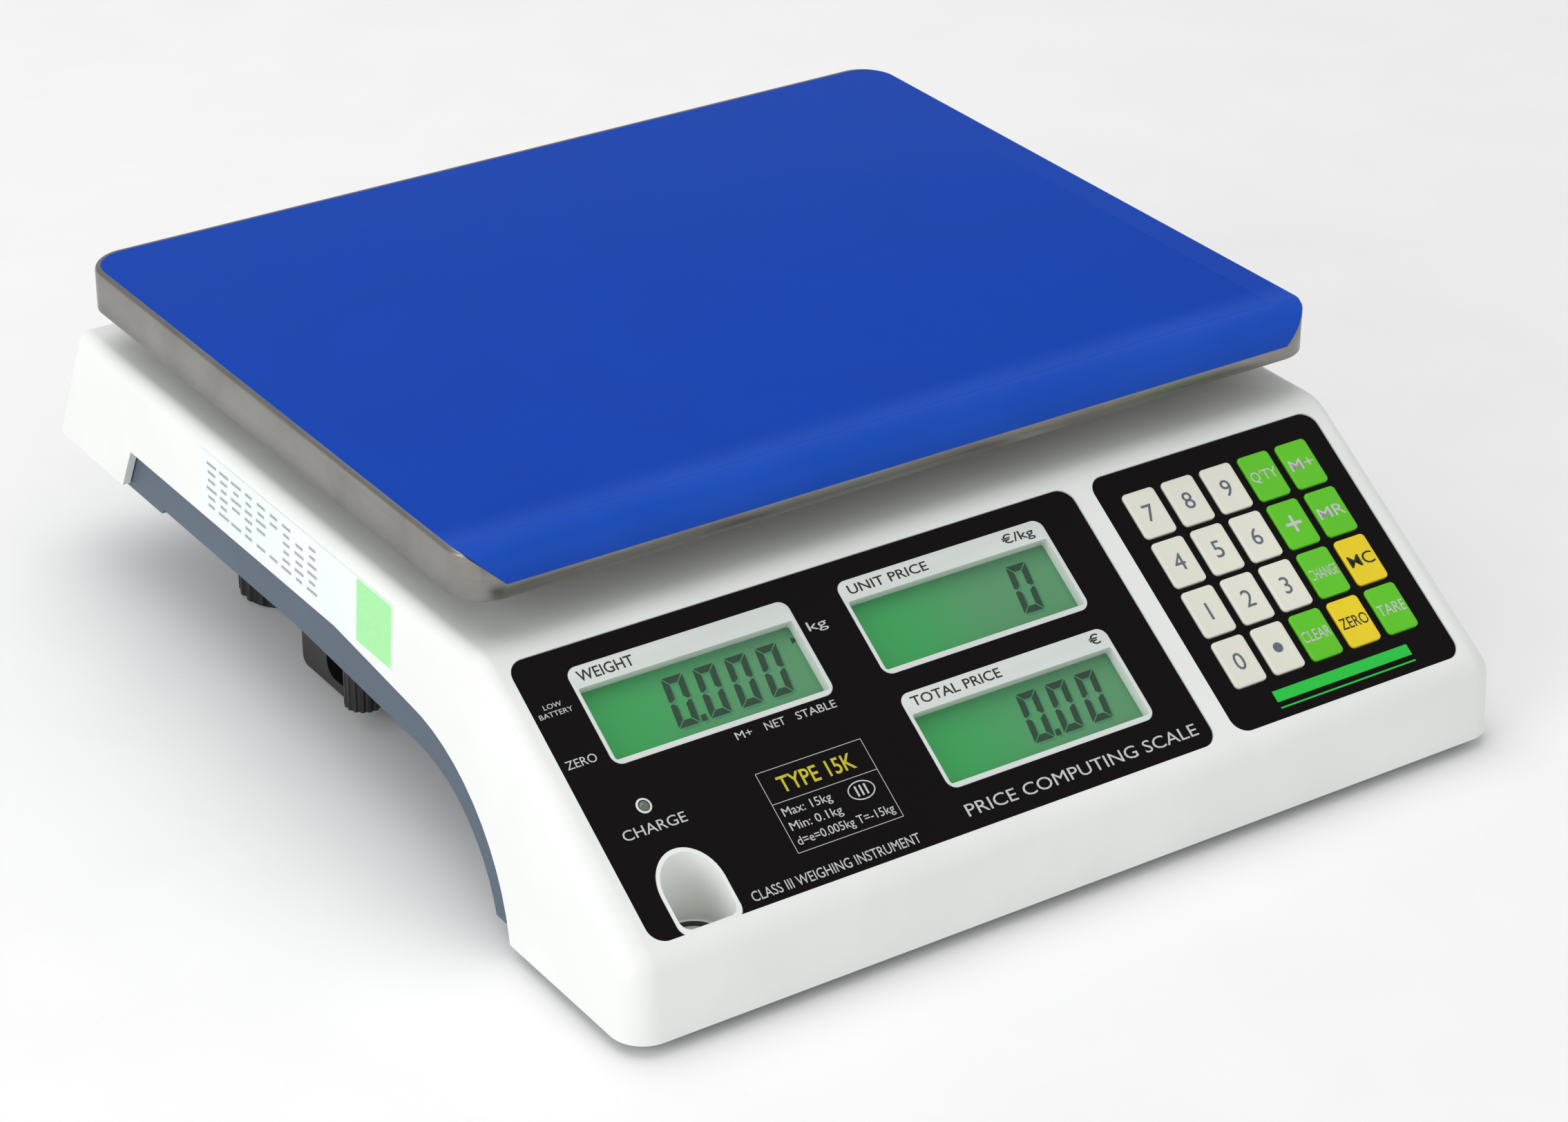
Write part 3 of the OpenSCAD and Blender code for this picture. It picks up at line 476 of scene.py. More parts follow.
def place_mesh(name, mesh, look, body, stands_for=()):
    """Gives a mesh its one finish and sets it on a body, in place of a frame node where one is named."""
    mesh.materials.clear()
    mesh.materials.append(finish(look) if isinstance(look, str) else look)
    piece = bpy.data.objects.new(name, mesh)
    bpy.context.scene.collection.objects.link(piece)
    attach(piece, body)
    if stands_for:
        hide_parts(*stands_for)


def join(bm, rows):
    """Faces from each closed row of corners to the next."""
    for row, following in zip(rows, rows[1:]):
        for i in range(len(row)):
            j = (i + 1) % len(row)
            bm.faces.new((row[i], row[j], following[j], following[i]))


def skin(bm, rings):
    """Joins closed rings of points one to the next and shuts both ends."""
    rows = [[bm.verts.new(point) for point in ring] for ring in rings]
    bm.faces.new(rows[0])
    bm.faces.new(rows[-1])
    join(bm, rows)


def smooth_step(t):
    return t * t * (3 - 2 * t)


def round_plan(width, depth, corner, steps):
    """Points round a rounded rectangle: the corner's centre, the way out, and how far it faces the front."""
    plan = []
    for quarter, (sx, sy) in enumerate(((1, 1), (-1, 1), (-1, -1), (1, -1))):
        centre = Vector((sx * (width / 2 - corner), sy * (depth / 2 - corner), 0))
        for step in range(steps + 1):
            turn = math.radians(90 * (quarter + step / steps))
            front = (0, 0, step / steps, 1 - step / steps)[quarter]
            plan.append((centre, Vector((math.cos(turn), math.sin(turn), 0)), smooth_step(front)))
    return plan


def turned(bm, profile, place, steps=40):
    """A ring made by turning a closed profile of radius and height points."""
    rows = []
    for step in range(steps):
        turn = 2 * math.pi * step / steps
        across, up = math.cos(turn), math.sin(turn)
        rows.append([bm.verts.new(place @ Vector((r * across, r * up, z))) for r, z in profile])
    join(bm, rows + rows[:1])


def dome(bm, radius, rise, foot, steps, place):
    """A shallow dome with a flat underside, as of a lens or a bubble."""
    ways = [(math.cos(a), math.sin(a)) for a in (2 * math.pi * step / steps for step in range(steps))]
    rings = []
    for lift in (0, 0.35, 0.7, 1.05, 1.4):
        reach, high = radius * math.cos(lift), rise * math.sin(lift) + foot
        rings.append([place @ Vector((reach * c, reach * s, high)) for c, s in ways])
    skin(bm, rings)


def slab(bm, outline, low, high, place):
    """A flat shape with a thickness, from the outline's points in its own plane."""
    skin(bm, [[place @ Vector((x, y, z)) for x, y in outline] for z in (low, high)])


def bar(bm, left, right, low, high, place):
    """A rectangle of ink, given in millimetres."""
    corners = ((left, low), (right, low), (right, high), (left, high))
    slab(bm, [(x * MM, y * MM) for x, y in corners], 0, sizes().ink, place)


def oval(bm, wide, tall, line, place):
    """A ring of ink in the shape of an ellipse, its half width and half height in millimetres."""
    ways = [(math.cos(math.radians(a)), math.sin(math.radians(a))) for a in range(0, 360, 10)]
    rows = []
    for inset, high in ((0, 0), (0, sizes().ink), (line, sizes().ink), (line, 0)):
        points = [Vector(((wide - inset) * c * MM, (tall - inset) * s * MM, high)) for c, s in ways]
        rows.append([bm.verts.new(place @ point) for point in points])
    join(bm, rows + rows[:1])


def words(bm, text, place, left, right, low, high, weight=0.0):
    """Lettering in a box given in millimetres; with None for its sides it is centred, unstretched."""
    curve = bpy.data.curves.new("lettering", "FONT")
    curve.body, curve.size, curve.offset, curve.extrude, curve.resolution_u = text, 1.0, weight, 0.5, 3
    holder = bpy.data.objects.new("lettering", curve)
    bpy.context.scene.collection.objects.link(holder)
    mesh = bpy.data.meshes.new_from_object(holder.evaluated_get(bpy.context.evaluated_depsgraph_get()))
    bpy.data.objects.remove(holder)
    bpy.data.curves.remove(curve)
    xs = [v.co.x for v in mesh.vertices]
    ys = [v.co.y for v in mesh.vertices]
    long = max(xs) - min(xs)
    up = (high - low) / (max(ys) - min(ys))
    across = up if right is None else (right - left) / long
    start = -across * long / 2 if left is None else left
    known = len(bm.verts)
    bm.from_mesh(mesh)
    bm.verts.ensure_lookup_table()
    for vert in bm.verts[known:]:
        flat = Vector((start + across * (vert.co.x - min(xs)), low + up * (vert.co.y - min(ys)), 0)) * MM
        flat.z = sizes().ink if vert.co.z > 0 else 0.0
        vert.co = place @ flat
    bpy.data.meshes.remove(mesh)


# Places on the object


def on_panel(x=0.0, up=0.0, out=0.0):
    """A place on the sloped panel in millimetres: to the right, up the slope, and out of it."""
    low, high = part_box("display_overlay")
    run = (high.z - low.z) / math.sin(sizes().slope)
    foot = Vector((0, low.y, high.z - (run - 0.5 * MM / math.tan(sizes().slope)) * math.sin(sizes().slope)))
    turn = Matrix.Rotation(sizes().slope, 4, "X")
    return Matrix.Translation(foot) @ turn @ Matrix.Translation(Vector((x, up, out)) * MM)


def on_rear(x=0.0, up=0.0, out=0.0):
    """A place on the customer's overlay in millimetres, as the customer sees it."""
    low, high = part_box("customer_overlay")
    lean = sizes().rear_lean
    foot = Vector((0, high.y, low.z + 0.5 * MM * math.sin(lean)))
    rise, run = math.cos(lean), math.sin(lean)
    turn = Matrix(((-1, 0, 0), (0, -run, rise), (0, rise, run))).to_4x4()
    return Matrix.Translation(foot) @ turn @ Matrix.Translation(Vector((x, up, out)) * MM)


def on_label(x=0.0, up=0.0, out=0.0):
    """A place on the side label in millimetres, from its rear lower corner."""
    low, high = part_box("rating_label")
    lean = sizes().label_lean
    foot = Vector((low.x, high.y, low.z))
    rise, run = math.cos(lean), math.sin(lean)
    turn = Matrix(((0, run, -rise), (-1, 0, 0), (0, rise, run))).to_4x4()
    return Matrix.Translation(foot) @ turn @ Matrix.Translation(Vector((x, up, out)) * MM)


class PieceOperator(bpy.types.Operator):
    """Builds pieces of the scale."""

    bl_idname = "retail_scale.piece"
    bl_label = "Piece"
    bl_options = {"REGISTER", "UNDO"}


class FinishFrame(PieceOperator):
    """Gives every frame node its finish."""

    bl_idname = "retail_scale.finish_frame"
    bl_label = "Frame finishes"

    def execute(self, context):
        for node, part in frame["nodes"].items():
            if not part.material_slots:
                part.data.materials.append(None)
            for holder in part.material_slots:
                holder.material = node_finish(node)
        return {"FINISHED"}


class Mouldings(PieceOperator):
    """Rounds and smooths the moulded and turned parts that show."""

    bl_idname = "retail_scale.mouldings"
    bl_label = "Mouldings"

    nodes: StringProperty(
        name="Nodes", description="Nodes to smooth, each with the rounding of its edges in millimetres",
        default="upper_housing:0 base:0 foot_front_left:0 foot_front_right:0 foot_rear_left:0 "
                "foot_rear_right:0 level_vial:0 charge_led:0 display_frames:0.3 fuse_cap:0 "
                "power_inlet:0 switch_rocker:0.4 switch_case:0 base_screws:0 foot_inserts:0 "
                "pan_spider:0 pan_cushions:0 platform_bolts:0 load_cell:0 level_glass:0")

    def execute(self, context):
        for entry in self.nodes.split():
            node, rounding = entry.split(":")
            bm = bmesh.new()
            bm.from_mesh(frame["nodes"][node].data)
            bmesh.ops.remove_doubles(bm, verts=bm.verts, dist=2e-6)
            if float(rounding):
                bmesh.ops.dissolve_limit(bm, angle_limit=math.radians(0.5), verts=bm.verts, edges=bm.edges)
                sharp = [e for e in bm.edges
                         if len(e.link_faces) == 2 and e.calc_face_angle(0) > math.radians(40)]
                bmesh.ops.bevel(bm, geom=sharp, offset=float(rounding) * MM, segments=3, profile=0.5,
                                affect="EDGES", clamp_overlap=True)
            add_piece(node + "_shell", bm, node_finish(node), BODIES[node], [node])
        return {"FINISHED"}


class WeighingPan(PieceOperator):
    """Folds the steel pan and lays its film over the top and the front bend."""

    bl_idname = "retail_scale.weighing_pan"
    bl_label = "Pan and film"

    def execute(self, context):
        s = sizes()
        low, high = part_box("pan")
        middle = (low + high) / 2
        plan = round_plan(high.x - low.x, high.y - low.y, s.pan_corner, 14)

        def arc(radius, grow, along):
            """How far a bend's surface lies below its top, some way along from the edge."""
            if along >= radius:
                return -grow
            return radius - math.sqrt(max((radius + grow) ** 2 - (radius - along) ** 2, 0))

        def ring(inset, grow=0.0, shift=0.0, height=None):
            """A ring inset from the outline, at the height of the bent sheet or at one given."""
            points = []
            for centre, out, front in plan:
                point = middle + centre + out * (s.pan_corner - inset) - Vector((0, shift, 0))
                side_drop = arc(s.side_fold, grow, inset) * (1 - front)
                drop = max(arc(s.front_bend, grow, point.y - low.y), side_drop)
                points.append(Vector((point.x, point.y, high.z - drop if height is None else height)))
            return points

        def insets(edge):
            """Distances in from an edge: close together where the folds turn."""
            turns = [math.radians(a) for a in range(0, 91, 9)]
            radii = [r for r in (s.front_bend, s.side_fold) if r > edge]
            steps = {round(r * (1 - math.sin(t)), 6) for t in turns for r in radii}
            return sorted((d for d in steps if d >= edge), reverse=True)

        hem = 0.3 * MM
        rings = [ring(i) for i in insets(0)]
        for inset, up in ((0, hem), (hem, 0), (s.pan_sheet - hem, 0), (s.pan_sheet, hem)):
            rings.append(ring(inset, height=low.z + up))
        rings += [ring(i, grow=-s.pan_sheet) for i in reversed(insets(s.pan_sheet))]
        bm = bmesh.new()
        skin(bm, rings)
        add_piece("pan_shell", bm, "stainless", "weighing_pan", ["pan"], crease=50)

        close = 0.005 * MM
        rings = [ring(s.film_inset + i, s.film, s.film_inset + s.film) for i in insets(0)]
        rings += [ring(s.film_inset + i, close, s.film_inset + close) for i in reversed(insets(0))]
        bm = bmesh.new()
        skin(bm, rings)
        add_piece("film_sheet", bm, "blue_film", "weighing_pan", ["pan_film"], crease=50)
        return {"FINISHED"}


LEGEND_INKS = {"key_ivory": "number_ink", "key_green": "white_ink", "key_yellow": "dark_ink"}
KEYS = {
    "key_7": "7", "key_8": "8", "key_9": "9", "key_quantity": "Q'TY", "key_memory_add": "M+",
    "key_4": "4", "key_5": "5", "key_6": "6", "key_plus": "+", "key_memory_recall": "MR",
    "key_1": "1", "key_2": "2", "key_3": "3", "key_change": "CHANGE", "key_memory_clear": "MC",
    "key_0": "0", "key_point": "", "key_clear": "CLEAR", "key_zero": "ZERO", "key_tare": "TARE",
}
# Width and height of each word on the keys, in millimetres
LEGEND_BOXES = {
    "Q'TY": (9.6, 4.3), "M+": (8.8, 3.7), "+": (5.8, 5.8), "MR": (9.6, 3.8), "CHANGE": (10.6, 3.6),
    "MC": (9.2, 4.0), "CLEAR": (10.4, 3.7), "ZERO": (10.2, 3.7), "TARE": (10.2, 3.6),
}


class KeyCaps(PieceOperator):
    """Moulds the twenty keys and prints their legends."""

    bl_idname = "retail_scale.key_caps"
    bl_label = "Keys"

    def execute(self, context):
        s = sizes()
        face = on_panel()
        rise, foot = 0.6 * MM, -2.4 * MM
        dot, dot_high = 1.6 * MM, 0.09 * MM
        for node, legend in KEYS.items():
            low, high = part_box(node)
            middle = face.inverted() @ ((low + high) / 2)
            place = face @ Matrix.Translation((middle.x, middle.y, 0))
            round_over = [(s.key_edge * (1 - math.sin(t)), rise - s.key_edge * (1 - math.cos(t)))
                          for t in (math.radians(a) for a in (90, 60, 30, 0))]
            dish = [(1.3 * MM, rise - 0.02 * MM), (2.6 * MM, rise - 0.07 * MM)]
            profile = [(0, foot)] + round_over + dish
            profile = [(min(i, s.key_corner + 1.2 * MM), z) for i, z in profile]
            bm = bmesh.new()
            skin(bm, key_rings(s, profile, place))
            cap = node + "_cap"
            add_piece(node + "_moulding", bm, SLOTS[node], cap, [node], crease=60)
            bm = bmesh.new()
            seat = place @ Matrix.Translation((0, 0, rise - 0.05 * MM))
            if not legend:
                slab(bm, [(dot * math.cos(math.radians(a)), dot * math.sin(math.radians(a)))
                          for a in range(0, 360, 12)], 0, dot_high, seat)
            elif legend.isdigit():
                words(bm, legend, seat, None, None, -2.9, 2.7)
            else:
                wide, tall = LEGEND_BOXES[legend]
                words(bm, legend, seat, -wide / 2, wide / 2, -tall / 2, tall / 2, weight=0.002)
            add_piece(node + "_legend", bm, LEGEND_INKS[SLOTS[node]], cap)
        return {"FINISHED"}


def key_rings(s, profile, place):
    """Rings of a key's cap, set in place on the panel."""
    rings = []
    for inset, high in profile:
        corner = max(s.key_corner - inset, 0.1 * MM)
        plan = round_plan(s.key_width - 2 * inset, s.key_height - 2 * inset, corner, 6)
        rings.append([place @ (centre + out * corner + Vector((0, 0, high))) for centre, out, _ in plan])
    return rings


class PanelPrint(PieceOperator):
    """Prints the words, the capacity box and the stripe on the operator's panel."""

    bl_idname = "retail_scale.panel_print"
    bl_label = "Panel print"

    def execute(self, context):
        film = on_panel()
        bm = bmesh.new()
        for text, left, right, low, high in (
                ("kg", -51.4, -45.2, 69.6, 73.4), ("LOW", -135.9, -130.3, 72.4, 73.9),
                ("BATTERY", -138.3, -128.0, 70.0, 71.5), ("ZERO", -138.0, -128.6, 54.0, 56.6),
                ("M+", -88.2, -83.0, 46.9, 49.2), ("NET", -78.7, -72.2, 46.9, 49.3),
                ("STABLE", -68.5, -55.5, 46.9, 49.3), ("CHARGE", -133.0, -113.3, 29.7, 32.8),
                ("PRICE COMPUTING SCALE", -35.9, 44.3, 4.1, 7.9), ("Max: 15kg", -86.9, -71.2, 20.9, 24.3),
                ("Min: 0.1kg", -86.9, -70.2, 16.4, 19.8), ("d=e=0.005kg T=-15kg", -87.1, -55.6, 11.9, 15.3),
                ("III", -63.6, -60.0, 20.2, 23.4),
                ("CLASS III WEIGHING INSTRUMENT", -107.5, -53.0, 2.0, 5.0)):
            words(bm, text, film, left, right, low, high)
        line = 0.17
        left, right, low, high, divider = -88.7, -54.3, 10.8, 36.0, 26.1
        for edge in (low, divider, high):
            bar(bm, left, right, edge - line, edge, film)
        for edge in (left, right):
            bar(bm, edge, edge + line, low - line, high, film)
        oval(bm, 4.3, 2.9, 0.35, film @ Matrix.Translation((-61.8 * MM, 21.8 * MM, 0)))
        add_piece("panel_lettering", bm, "white_ink", "housing")

        bm = bmesh.new()
        words(bm, "TYPE 15K", film, -83.8, -59.4, 28.3, 33.2, weight=0.01)
        add_piece("capacity_heading", bm, "heading_ink", "housing")

        bm = bmesh.new()
        rim = on_panel(out=0.2)
        for text, left, right, low, high in (
                ("WEIGHT", -122.4, -104.8, 77.0, 80.4), ("UNIT PRICE", -34.0, -7.0, 77.2, 80.2),
                ("€/kg", 19.4, 30.4, 76.4, 80.4), ("TOTAL PRICE", -34.0, -3.6, 39.6, 42.7),
                ("€", 27.8, 31.4, 39.7, 43.0)):
            words(bm, text, rim, left, right, low, high, weight=0.008)
        add_piece("rim_lettering", bm, "dark_ink", "housing")

        bm = bmesh.new()
        bar(bm, 73.7, 124.4, 5.2, 8.8, film)
        bar(bm, 73.7, 124.4, 3.0, 3.5, film)
        add_piece("panel_stripe", bm, "stripe_ink", "housing")
        return {"FINISHED"}


SEGMENTS = {"0": "abcdef", "1": "bc", "2": "abged", "3": "abgcd", "4": "fgbc", "5": "afgcd"}


def segments(bm, digit, left, place):
    """One seven-segment digit, its lower left corner at left, in metres on its own plane."""
    s = sizes()
    w, h, t, gap = s.digit_width, s.digit_height, s.digit_stroke, 0.28 * MM
    half = h / 2
    shapes = {
        "a": ((gap, h), (w - gap, h), (w - t - gap, h - t), (t + gap, h - t)),
        "d": ((t + gap, t), (w - t - gap, t), (w - gap, 0), (gap, 0)),
        "g": ((t + gap / 2, half + t / 2), (w - t - gap / 2, half + t / 2), (w - t * 0.6, half),
              (w - t - gap / 2, half - t / 2), (t + gap / 2, half - t / 2), (t * 0.6, half)),
        "f": ((0, h - gap), (t, h - t - gap), (t, half + t / 2 + gap / 2), (t * 0.4, half + gap),
              (0, half + gap * 2)),
        "e": ((0, half - gap * 2), (t * 0.4, half - gap), (t, half - t / 2 - gap / 2), (t, t + gap),
              (0, gap)),
    }
    shapes["b"] = [(w - x, y) for x, y in shapes["f"]]
    shapes["c"] = [(w - x, y) for x, y in shapes["e"]]
    lean = math.tan(s.digit_slant)
    for name in SEGMENTS[digit]:
        slab(bm, [(left + x + y * lean, y) for x, y in shapes[name]], 0, s.ink, place)


def reading(bm, text, right, place):
    """A number that ends at right, in millimetres, with its decimal point between digits."""
    s = sizes()
    digits = text.replace(".", "")
    start = right * MM - s.digit_pitch * len(digits)
    for i, digit in enumerate(digits):
        segments(bm, digit, start + i * s.digit_pitch, place)
    if "." in text:
        x = start + text.index(".") * s.digit_pitch - 2.7 * MM
        point = [(x, 0), (x + 1.7 * MM, 0), (x + 2.0 * MM, 1.9 * MM), (x + 0.3 * MM, 1.9 * MM)]
        slab(bm, point, 0, s.ink, place)


class Readings(PieceOperator):
    """Sets the digits behind the operator's and the customer's windows, with the shade that the operator's
    digits cast.
    """

    bl_idname = "retail_scale.readings"
    bl_label = "Digits"

    depth: length("Glass depth", "Depth of the glass below the panel", 3.4)

    def execute(self, context):
        deep, clear = -self.depth / MM, 0.03
        shade_right, shade_down = 0.5, 0.9
        for name, text, right, foot in (("weight", "0.000", -59.7, 56.6), ("unit_price", "0", 26.2, 56.6),
                                        ("total_price", "0.00", 27.6, 19.0)):
            bm = bmesh.new()
            reading(bm, text, right, on_panel(0, foot, deep + clear))
            if name == "weight":
                pointer = [(-56.2 * MM, 13.4 * MM), (-53.6 * MM, 14.4 * MM), (-56.0 * MM, 15.4 * MM)]
                slab(bm, pointer, 0, sizes().ink, on_panel(0, foot, deep + clear))
            add_piece(name + "_digits", bm, "segment", "housing")
            bm = bmesh.new()
            reading(bm, text, right, on_panel(shade_right, foot - shade_down, deep - clear))
            add_piece(name + "_digit_shade", bm, "segment_shade", "housing")
        bm = bmesh.new()
        window_pitch, window_right = 78, 28
        for i, text in enumerate(("0.000", "0", "0.00")):
            reading(bm, text, (i - 1) * window_pitch + window_right, on_rear(0, 8.4, -2.7))
        add_piece("customer_digits", bm, "segment", "housing")
        bm = bmesh.new()
        for text, left, right in (("WEIGHT kg", -92, -64), ("UNIT PRICE €/kg", -18, 18),
                                  ("TOTAL PRICE €", 61, 95)):
            words(bm, text, on_rear(), left, right, 27.4, 29.8)
        add_piece("customer_lettering", bm, "white_ink", "housing")
        return {"FINISHED"}


class SpiritLevel(PieceOperator):
    """Adds the bubble and the target ring of the spirit level."""

    bl_idname = "retail_scale.spirit_level"
    bl_label = "Spirit level"

    def execute(self, context):
        low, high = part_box("level_glass")
        middle = (low + high) / 2
        place = Matrix.Translation((middle.x, middle.y, high.z))
        r = sizes().bubble
        inner, outer, thick = r + 0.35 * MM, r + 0.75 * MM, 0.06 * MM
        bm = bmesh.new()
        turned(bm, [(inner, 0.0), (outer, 0.0), (outer, thick), (inner, thick)], place)
        add_piece("level_target", bm, "dark_ink", "housing")
        bm = bmesh.new()
        dome(bm, r, 0.35 * MM, 0.0, 30, place)
        add_piece("level_bubble", bm, "vial_glass", "housing", crease=60)
        return {"FINISHED"}


class ChargeLamp(PieceOperator):
    """Adds the pale ring round the charge lamp and its domed lens."""

    bl_idname = "retail_scale.charge_lamp"
    bl_label = "Charge lamp"

    def execute(self, context):
        place = on_panel(-123.0, 37.8)
        r = sizes().lamp_ring
        foot, top = -0.2 * MM, 0.16 * MM
        bm = bmesh.new()
        profile = [(1.65 * MM, foot), (r, foot), (r, 0.02 * MM), (r - 0.25 * MM, top), (1.75 * MM, top)]
        turned(bm, profile, place)
        add_piece("lamp_ring", bm, "silver_plastic", "housing", crease=60)
        bm = bmesh.new()
        dome(bm, 1.55 * MM, 0.5 * MM, -0.45 * MM, 24, place)
        add_piece("lamp_lens", bm, "led_lens", "housing", crease=60)
        return {"FINISHED"}


# Geometry Nodes for what repeats


class Layout(Tree):
    """A Geometry Nodes tree with named inputs, which ends in real geometry with one finish."""

    def __init__(self, name, inputs):
        group = bpy.data.node_groups.new(name, "GeometryNodeTree")
        super().__init__(group)
        group.interface.new_socket("Geometry", in_out="OUTPUT", socket_type="NodeSocketGeometry")
        self.values = {}
        self.sockets = {}
        for label, (kind, value) in inputs.items():
            item = group.interface.new_socket(label, in_out="INPUT", socket_type="NodeSocket" + kind)
            self.sockets[label], self.values[label] = item.identifier, value
        source = group.nodes.new("NodeGroupInput")
        self.given = {label: Wire(self, source.outputs[label]) for label in inputs}

    def finish(self, geometry):
        real = self.node("GeometryNodeRealizeInstances", {}, {"Geometry": geometry})
        done = self.node("GeometryNodeSetMaterial", {}, {"Geometry": real, "Material": self.given["Finish"]})
        end = self.tree.nodes.new("NodeGroupOutput")
        self.tree.links.new(done.socket, end.inputs[0])

    def mesh(self, name):
        """Evaluates the tree on an empty object and gives the plain mesh."""
        holder = bpy.data.objects.new(name, bpy.data.meshes.new(name))
        bpy.context.scene.collection.objects.link(holder)
        modifier = holder.modifiers.new("layout", "NODES")
        modifier.node_group = self.tree
        for label, identifier in self.sockets.items():
            modifier[identifier] = self.values[label]
        mesh = bpy.data.meshes.new_from_object(holder.evaluated_get(bpy.context.evaluated_depsgraph_get()))
        holder.modifiers.remove(modifier)
        bpy.data.objects.remove(holder)
        return mesh


def small_print(wide, tall, count, rows, ink, seed, look):
    """Rows of short bars of random length, as print too small to read."""
    t = Layout("small_print", {
        "Width": ("Float", wide), "Height": ("Float", tall), "Words": ("Int", count), "Rows": ("Int", rows),
        "Ink height": ("Float", ink), "Seed": ("Int", seed), "Finish": ("Material", look)})
    g = t.given
    grid = t.node("GeometryNodeMeshGrid", {}, {
        "Size X": g["Width"], "Size Y": g["Height"],
        "Vertices X": g["Words"], "Vertices Y": g["Rows"]}, output="Mesh")
    gaps = t.node("FunctionNodeRandomValue", {"data_type": "BOOLEAN"}, {
        "Probability": 0.12, "Seed": g["Seed"]}, output=3)
    grid = t.node("GeometryNodeDeleteGeometry", {"domain": "POINT"}, {"Geometry": grid, "Selection": gaps})
    points = t.node("GeometryNodeMeshToPoints", {}, {"Mesh": grid})
    longer = t.node("FunctionNodeRandomValue", {"data_type": "FLOAT"}, {
        2: 0.45, 3: 0.92, "Seed": g["Seed"] + 1}, output=1)
    size = t.node("ShaderNodeCombineXYZ", {}, {"X": longer * (g["Width"] / g["Words"]), "Y": 1.0, "Z": 1.0})
    box = t.node("ShaderNodeCombineXYZ", {}, {
        "X": 1.0, "Y": 0.42 * (g["Height"] / g["Rows"]), "Z": g["Ink height"]})
    tile = t.node("GeometryNodeMeshCube", {}, {"Size": box}, output="Mesh")
    t.finish(t.node("GeometryNodeInstanceOnPoints", {}, {"Points": points, "Instance": tile, "Scale": size}))
    return t.mesh("small_print")


def pin_rows(count, rows, pitch, look):
    """Rows of soldered pins, as on the back of a circuit board."""
    t = Layout("pin_rows", {
        "Pins": ("Int", count), "Rows": ("Int", rows),
        "Pitch": ("Float", pitch), "Finish": ("Material", look)})
    g = t.given
    grid = t.node("GeometryNodeMeshGrid", {}, {
        "Size X": g["Pitch"] * g["Pins"], "Size Y": g["Pitch"] * g["Rows"],
        "Vertices X": g["Pins"], "Vertices Y": g["Rows"]}, output="Mesh")
    pin = t.node("GeometryNodeMeshCone", {}, {
        "Vertices": 8, "Radius Top": g["Pitch"] * 0.12, "Radius Bottom": g["Pitch"] * 0.32,
        "Depth": g["Pitch"] * 0.5}, output="Mesh")
    points = t.node("GeometryNodeMeshToPoints", {}, {"Mesh": grid})
    t.finish(t.node("GeometryNodeInstanceOnPoints", {}, {"Points": points, "Instance": pin}))
    return t.mesh("pin_rows")


class SideLabel(PieceOperator):
    """Prints the side label: a pale green square and lines of small print."""

    bl_idname = "retail_scale.side_label"
    bl_label = "Side label"

    def execute(self, context):
        bm = bmesh.new()
        side, corner = 19.6 * MM, 0.6 * MM
        points = [centre + out * corner for centre, out, _ in round_plan(side, side, corner, 5)]
        slab(bm, [(p.x, p.y) for p in points], 0, sizes().ink, on_label(104.8, 10.2))
        add_piece("label_patch", bm, "patch_ink", "housing")
        wide, tall, count, rows = 62 * MM, 13.4 * MM, 9, 6
        seed = context.scene.scale_stage.seed
        mesh = small_print(wide, tall, count, rows, sizes().ink, seed, finish("grey_ink"))
        mesh.transform(on_label(38.0, 10.4, 0.02))
        place_mesh("label_print", mesh, "grey_ink", "housing")
        return {"FINISHED"}


class BoardParts(PieceOperator):
    """Adds the soldered pins under the main board."""

    bl_idname = "retail_scale.board_parts"
    bl_label = "Board pins"

    def execute(self, context):
        low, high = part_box("main_board")
        count, rows, pitch = 30, 2, 2.54 * MM
        mesh = pin_rows(count, rows, pitch, finish("solder"))
        mesh.transform(Matrix.Translation(((low.x + high.x) / 2, low.y + 6 * MM, low.z - 0.6 * MM)))
        place_mesh("main_board_pins", mesh, "solder", "housing")
        return {"FINISHED"}


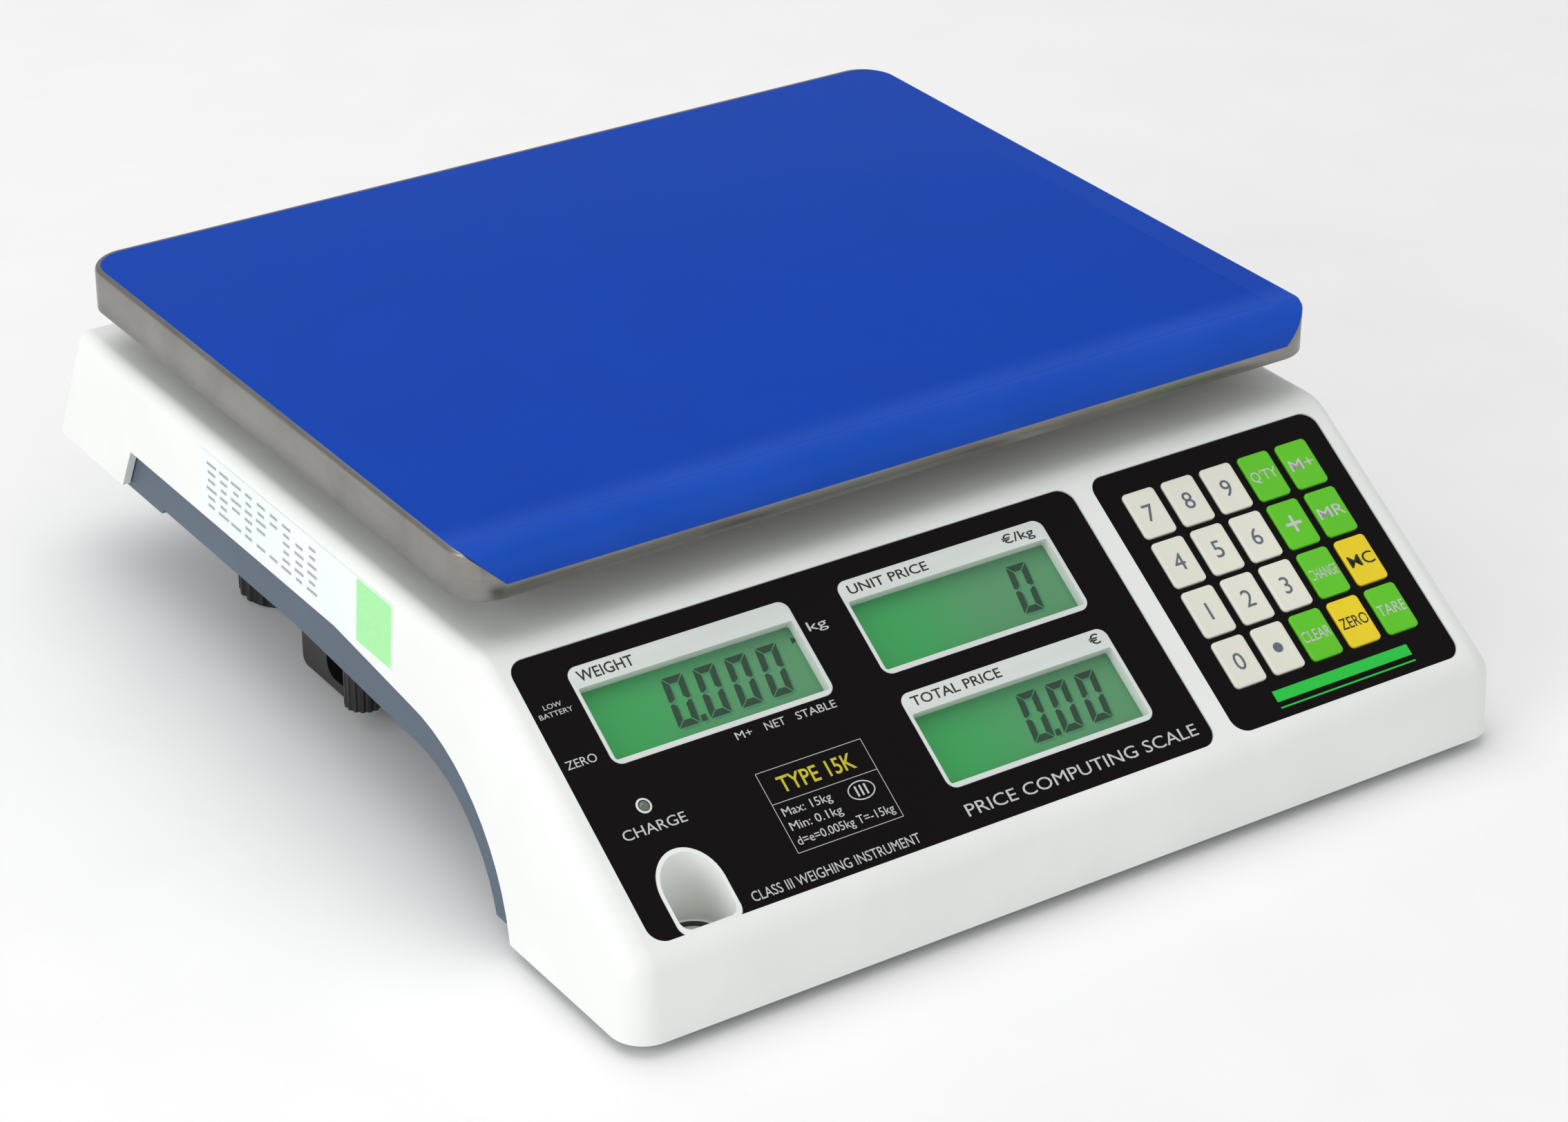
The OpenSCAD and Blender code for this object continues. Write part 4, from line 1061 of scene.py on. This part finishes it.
class Stage(PieceOperator):
    """Lays the floor and sets the lights and the camera."""

    bl_idname = "retail_scale.stage"
    bl_label = "Stage"

    def execute(self, context):
        scene = context.scene
        st = scene.scale_stage
        bm = bmesh.new()
        reach, thick = 5, 0.02
        corners = [(-reach, -reach), (reach, -reach), (reach, reach), (-reach, reach)]
        slab(bm, corners, -thick, 0, Matrix.Identity(4))
        bmesh.ops.recalc_face_normals(bm, faces=bm.faces)
        mesh = bpy.data.meshes.new("floor")
        bm.to_mesh(mesh)
        bm.free()
        mesh.materials.append(finish("floor"))
        floor = bpy.data.objects.new("floor", mesh)
        scene.collection.objects.link(floor)
        aim = Vector((0, 0, 0.05))
        for name, power, size, spot in (("main_light", st.key_power, 1.8, (-0.25, 0.35, 1.7)),
                                        ("fill_light", st.fill_power, 1.2, (-1.8, -0.3, 0.55)),
                                        ("front_light", st.front_power, 1.2, (0.5, -1.7, 0.8))):
            light = bpy.data.lights.new(name, "AREA")
            light.energy, light.size = power, size
            lamp = bpy.data.objects.new(name, light)
            lamp.location = spot
            lamp.rotation_euler = (aim - Vector(spot)).to_track_quat("-Z", "Y").to_euler()
            scene.collection.objects.link(lamp)
        world = bpy.data.worlds.new("surround")
        world.use_nodes = True
        sky = world.node_tree.nodes["Background"]
        sky.inputs["Color"].default_value = (1, 1, 1, 1)
        sky.inputs["Strength"].default_value = st.sky
        scene.world = world
        camera = bpy.data.cameras.new("camera")
        camera.lens, camera.sensor_width = st.lens, 36
        camera.clip_start, camera.clip_end = 0.05, 50
        holder = bpy.data.objects.new("camera", camera)
        holder.matrix_world = Matrix((
            (0.8295, 0.2600, -0.4943, -0.6276), (-0.5584, 0.3994, -0.7271, -0.9414),
            (0.0084, 0.8792, 0.4764, 0.6405), (0, 0, 0, 1)))
        scene.collection.objects.link(holder)
        scene.camera = holder
        scene.view_settings.view_transform = "Standard"
        return {"FINISHED"}


PIECES = (FinishFrame, Mouldings, WeighingPan, KeyCaps, PanelPrint, Readings, SpiritLevel, ChargeLamp,
          SideLabel, BoardParts, Stage)


class ScalePanel(bpy.types.Panel):
    """Lists the scale's pieces, sizes and colours in the sidebar."""

    bl_idname = "VIEW3D_PT_retail_scale"
    bl_label = "Price Computing Scale"
    bl_space_type = "VIEW_3D"
    bl_region_type = "UI"
    bl_category = "Scale"

    def draw(self, context):
        for piece in PIECES:
            self.layout.operator(piece.bl_idname)
        for group in (context.scene.scale_sizes, context.scene.scale_colours, context.scene.scale_stage):
            box = self.layout.box()
            for name in group.__annotations__:
                box.prop(group, name)


CLASSES = (ScaleSizes, ScaleColours, ScaleStage, *PIECES, ScalePanel)


def register():
    for cls in CLASSES:
        bpy.utils.register_class(cls)
    bpy.types.Scene.scale_sizes = PointerProperty(type=ScaleSizes)
    bpy.types.Scene.scale_colours = PointerProperty(type=ScaleColours)
    bpy.types.Scene.scale_stage = PointerProperty(type=ScaleStage)


def unregister():
    del bpy.types.Scene.scale_stage
    del bpy.types.Scene.scale_colours
    del bpy.types.Scene.scale_sizes
    for cls in reversed(CLASSES):
        bpy.utils.unregister_class(cls)


def main():
    register()
    for piece in PIECES:
        group, name = piece.bl_idname.split(".")
        getattr(getattr(bpy.ops, group), name)()


if __name__ == "__main__":
    main()
